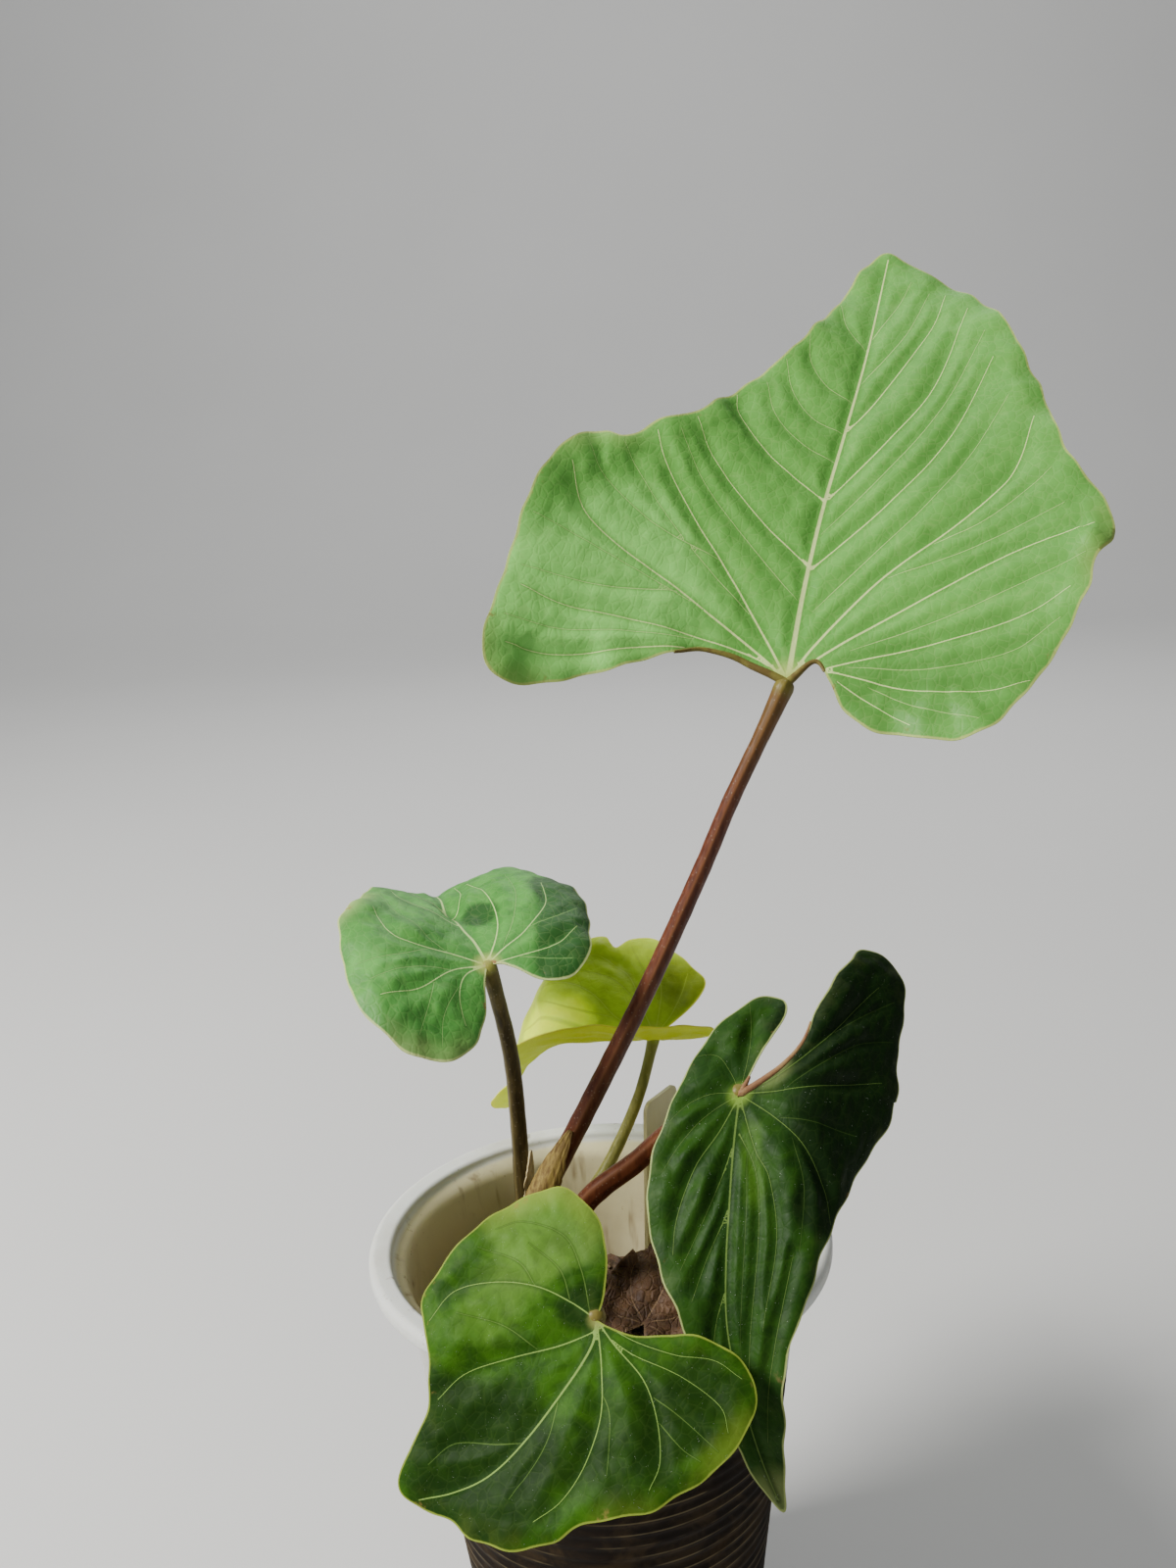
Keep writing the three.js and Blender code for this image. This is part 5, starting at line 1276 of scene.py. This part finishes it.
def sheath_mesh(name, stalk_points, radii, start, end, spread, facing, flare, fray_seed):
    """A strip round the stalk. Going up, its half angle shrinks from the spread to a tenth of it, and its
    distance from the stalk falls by the flare and rises a little at the tip. Its edges curl outwards at the
    foot, fibres raise it along its length, and chance frays its edges."""
    path = smooth_path(stalk_points[::-1], 0.5)
    forward, _, _ = rod_frames(path)
    up = np.linspace(0, 1, SHEATH_ROWS)
    t = start + (end - start) * up
    number = np.arange(len(path))
    centre = rows_at(t * (len(path) - 1), number, path)
    axis = rows_at(t * (len(path) - 1), number, forward)
    outward = np.array([math.cos(math.radians(facing)), math.sin(math.radians(facing)), 0])
    front = outward - axis * (axis @ outward)[:, None]
    front /= np.linalg.norm(front, axis=1)[:, None]
    beside = np.cross(axis, front)
    stalk_radius = radii[1] + (radii[0] - radii[1]) * t
    chance = np.random.default_rng(fray_seed)
    fray = 1 + 0.10 * np.interp(up, np.linspace(0, 1, 24), chance.uniform(-1, 1, 24))
    half = math.radians(spread) * (1 - 0.9 * up ** 1.6) * fray
    column = np.linspace(-1, 1, SHEATH_COLUMNS)
    angle = half[:, None] * column[None, :]
    fibre = 0.10 * np.interp(column, np.linspace(-1, 1, 15), chance.uniform(-1, 1, 15))
    curl = 0.5 * np.abs(column) ** 4
    clear = (stalk_radius + 0.35 + flare * (1 - up) ** 2 + 0.25 * up ** 4)[:, None]
    clear = clear + fibre[None, :] + curl[None, :] * (1 - up)[:, None]
    layers = [centre[:, None] + (clear + wall)[..., None] * around(angle, front, beside)
              for wall in (SHEATH_WALL, 0.0)]
    points = np.vstack([layer.reshape(-1, 3) for layer in layers])
    size = SHEATH_ROWS * SHEATH_COLUMNS
    outer = grid_faces(SHEATH_ROWS, SHEATH_COLUMNS)
    inner = outer[:, ::-1] + size
    index = np.arange(size).reshape(SHEATH_ROWS, SHEATH_COLUMNS)
    loop = np.concatenate([index[0], index[1:, -1], index[-1, -2::-1], index[-2:0:-1, 0]])
    ahead = np.roll(loop, -1)
    wall = np.stack([ahead, loop, loop + size, ahead + size], axis=1)
    return to_mesh(name, points, np.vstack([outer, inner, wall]), 60)


def paper_material(name, pale, dark):
    """Dry papery skin with long fibres and dark blotches."""
    material, shader, n = new_material(name, IOR=1.4)
    place = n.object_place()
    fibre = n.noise(n.stretched(place, (1, 1, 0.1)), FIBRE_SCALE, 5, 0.65)
    blotch = n.noise(place, 160, 4, 0.6)
    tone = n.mix(n.ramp(fibre, 0.34, 0.66), dark, pale)
    tone = n.tint(tone, dark, n.ramp(blotch, 0.5, 0.7), 0.6)
    n.dress(shader, tone, n.plus(0.5, n.times(blotch, 0.3)), fibre, 0.5, 0.0006)
    return material


tan_paper = paper_material("tan_sheath", (0.27, 0.19, 0.045, 1), (0.12, 0.068, 0.016, 1))
pale_paper = paper_material("pale_sheath", (0.74, 0.64, 0.36, 1), (0.44, 0.33, 0.15, 1))
sheath_large = sheath_mesh("sheath_large", [(48, 20, 238.5), *large_course], large_radii,
                           start=0.045, end=0.25, spread=100, facing=-125, flare=0.9, fray_seed=4)
finish_piece(sheath_large, tan_paper, "sheath_tan", "cataphyll_large")
sheath_left = sheath_mesh("sheath_left", [(-21.6, 6.4, 180.8), *left_course], left_radii,
                          start=0.1, end=0.36, spread=75, facing=-30, flare=0.7, fray_seed=9)
finish_piece(sheath_left, pale_paper, "sheath_pale", "cataphyll_left")

# The withered leaf. A small leaf that dried brown and crumpled, and dropped on the mix. It keeps the veins
# of a blade, and its margin curls in and out.
withered_leaf = {
    "origin": (9, 3, 90.5), "heading": 62, "rise": 12, "roll": 18,
    "right": [(0, 40), (5, -30), (9, 50), (13, -40), (20, 30)],
    "left": [(0, 35), (6, -40), (10, 45), (16, -20)],
    "front": [(0, 0), (8, 34), (16, -20), (30, 30)], "back": [(0, 0), (10, -30)],
    "ripple": (13, 1.6, 0.3), "ripple_depth": 9, "spacing": 0.45,
    "quilt": 0.9, "pucker": 0.2, "groove": 1.1, "rib": 0.25, "lumps": 0.8, "seed": 33, "scallop": 0.6,
    "outline": [
        (4, -6), (9, -7), (13, -3), (15, 4), (14, 12), (10, 19), (6, 26), (0, 30), (-5, 25), (-10, 18),
        (-13, 10), (-13, 2), (-10, -5), (-5, -6)],
    "veins": [
        (0.7, 0.25, [(0, 0), (0.5, 10), (0, 20), (0, 29)]),
        (0.4, 0.12, [(0, 0), (6, 5), (10, 11), (11, 17)]),
        (0.4, 0.12, [(0, 0), (7, 0), (12, 2)]),
        (0.4, 0.12, [(0, 0), (-6, 5), (-9, 11), (-9, 18)]),
        (0.4, 0.12, [(0, 0), (-6, -1), (-11, 1)])],
    "fine_veins": [
        (0.2, 0.08, [(0, 9), (4, 15), (6, 22)]),
        (0.2, 0.08, [(0, 9), (-4, 15), (-5, 22)]),
        (0.2, 0.08, [(3, 2), (9, 6), (14, 8)]),
        (0.2, 0.08, [(-3, 2), (-8, 5), (-12, 8)])],
}
withered_skin = leaf_material(
    "withered_leaf",
    {"Lamina": (0.115, 0.058, 0.028), "Lamina deep": (0.045, 0.022, 0.012), "Vein": (0.19, 0.115, 0.06),
     "Margin": (0.16, 0.095, 0.05), "Heart": (0.10, 0.05, 0.03), "Under": (0.12, 0.07, 0.04),
     "Withered": (0.04, 0.02, 0.01)},
    {"Net": 0.6, "Sunlit weight": 0.0, "Margin width": 0.5, "Patch": 1.0, "Heart reach": 3.0, "Dust": 0.3,
     "Wither": 0.6, "Shine": 0.5},
    bump_strength=0.8, IOR=1.4)
withered = blade_mesh("withered_leaf", withered_leaf)
finish_piece(withered, withered_skin, "dry_leaf", "dry_leaf")

# The plant label. A blank strip of plastic, yellowed and scuffed, pushed into the mix at the back. Only its
# upper end shows above the rim.
LABEL_PALE = (0.62, 0.57, 0.28, 1)
LABEL_GRIMY = (0.44, 0.37, 0.17, 1)
label_plastic, shader, n = new_material("label_plastic", IOR=1.49)
place = n.object_place()
grime = n.ramp(n.noise(place, 70, 5, 0.6), 0.45, 0.75)
scuff = n.noise(n.stretched(place, (1, 1, 0.2)), 700, 4, 0.6)
tone = n.tint(LABEL_PALE, LABEL_GRIMY, grime, 0.35)
n.dress(shader, tone, n.plus(0.35, n.times(scuff, 0.3)), scuff, 0.15, 0.0004)
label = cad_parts["plant_label"]
label.data.materials.clear()
label.data.materials.append(label_plastic)

# The studio. A pale seamless sheet lies flat under the plant and sweeps up behind it. A soft key light stands
# at the left, with a weak fill from the viewer's side, a little light from behind and one on the sheet.
SHEET_HALF_WIDTH = 6.0
SHEET_FRONT, SHEET_BEND, SHEET_BEND_RADIUS, SHEET_TOP = -3.0, 1.6, 1.2, 5.0
bend = np.linspace(0, math.pi / 2, 25)
sheet_back = SHEET_BEND + SHEET_BEND_RADIUS
sheet_y = np.concatenate([[SHEET_FRONT], SHEET_BEND + SHEET_BEND_RADIUS * np.sin(bend), [sheet_back]])
sheet_z = np.concatenate([[0], SHEET_BEND_RADIUS * (1 - np.cos(bend)), [SHEET_TOP]])
sheet = np.stack([np.outer([-SHEET_HALF_WIDTH, SHEET_HALF_WIDTH], np.ones(len(sheet_y))),
                  np.tile(sheet_y, (2, 1)), np.tile(sheet_z, (2, 1))], axis=2)
floor = to_mesh("floor", sheet.reshape(-1, 3) * 1000, grid_faces(2, len(sheet_y))[:, ::-1])
floor_paint, shader, n = new_material("floor_paint", Roughness=0.9, Specular_IOR_Level=0.2)
tone = n.mix(n.noise(n.object_place(), 3, 2), (0.60, 0.60, 0.59, 1), (0.64, 0.64, 0.63, 1))
n.join(tone, shader.inputs["Base Color"])
floor.data.materials.append(floor_paint)

PLANT_MIDDLE = (0.02, 0.0, 0.17)
KEY_AROUND, KEY_ABOVE, KEY_AWAY = math.radians(-73), math.radians(41), 1.15


def soft_light(name, place, size, power, colour=(1, 1, 1), aim=PLANT_MIDDLE):
    """A square area light at a place, turned to face its aim. Without an aim it faces the plant's middle."""
    light = bpy.data.lights.new(name, "AREA")
    light.size = size
    light.energy = power
    light.color = colour
    lamp = bpy.data.objects.new(name, light)
    lamp.location = place
    lamp.rotation_euler = (Vector(aim) - Vector(place)).to_track_quat("-Z", "Y").to_euler()
    bpy.context.scene.collection.objects.link(lamp)


key_level = math.cos(KEY_ABOVE)
key_way = Vector((math.sin(KEY_AROUND) * key_level, -math.cos(KEY_AROUND) * key_level, math.sin(KEY_ABOVE)))
soft_light("key", Vector(PLANT_MIDDLE) + KEY_AWAY * key_way, size=0.4, power=26, colour=(1.0, 0.98, 0.94))
soft_light("fill", (0.5, -1.3, 0.9), size=1.4, power=2.0)
soft_light("back", (0.2, 1.1, 0.9), size=0.8, power=3.5)
soft_light("sheet", (0, 0.9, 2.4), size=1.5, power=38, aim=(0, 2.7, 1.0))
world = bpy.data.worlds.new("studio")
world.use_nodes = True
background = world.node_tree.nodes["Background"]
background.inputs["Color"].default_value = (0.92, 0.95, 1.0, 1)
background.inputs["Strength"].default_value = 0.16
bpy.context.scene.world = world

# The camera stands at the viewer's place, above the small leaves and a little under the large leaf's tip. It
# is tipped down and rolled slightly.
CAMERA_PLACE = (0.003, -0.301, 0.2984)
CAMERA_DOWN, CAMERA_ROLL = math.radians(14.1), math.radians(-3.2)
camera = bpy.data.objects.new("camera", bpy.data.cameras.new("camera"))
camera.data.lens = 33.75
camera.data.sensor_width = 36
camera.data.clip_start = 0.01
ahead = Vector((0, math.cos(CAMERA_DOWN), -math.sin(CAMERA_DOWN)))
level_up = Vector((0, math.sin(CAMERA_DOWN), math.cos(CAMERA_DOWN)))
level_right = Vector((1, 0, 0))
right = math.cos(CAMERA_ROLL) * level_right + math.sin(CAMERA_ROLL) * level_up
up = -math.sin(CAMERA_ROLL) * level_right + math.cos(CAMERA_ROLL) * level_up
turn = Matrix((right, up, -ahead)).transposed()
camera.matrix_world = Matrix.Translation(CAMERA_PLACE) @ turn.to_4x4()
bpy.context.scene.collection.objects.link(camera)
bpy.context.scene.camera = camera
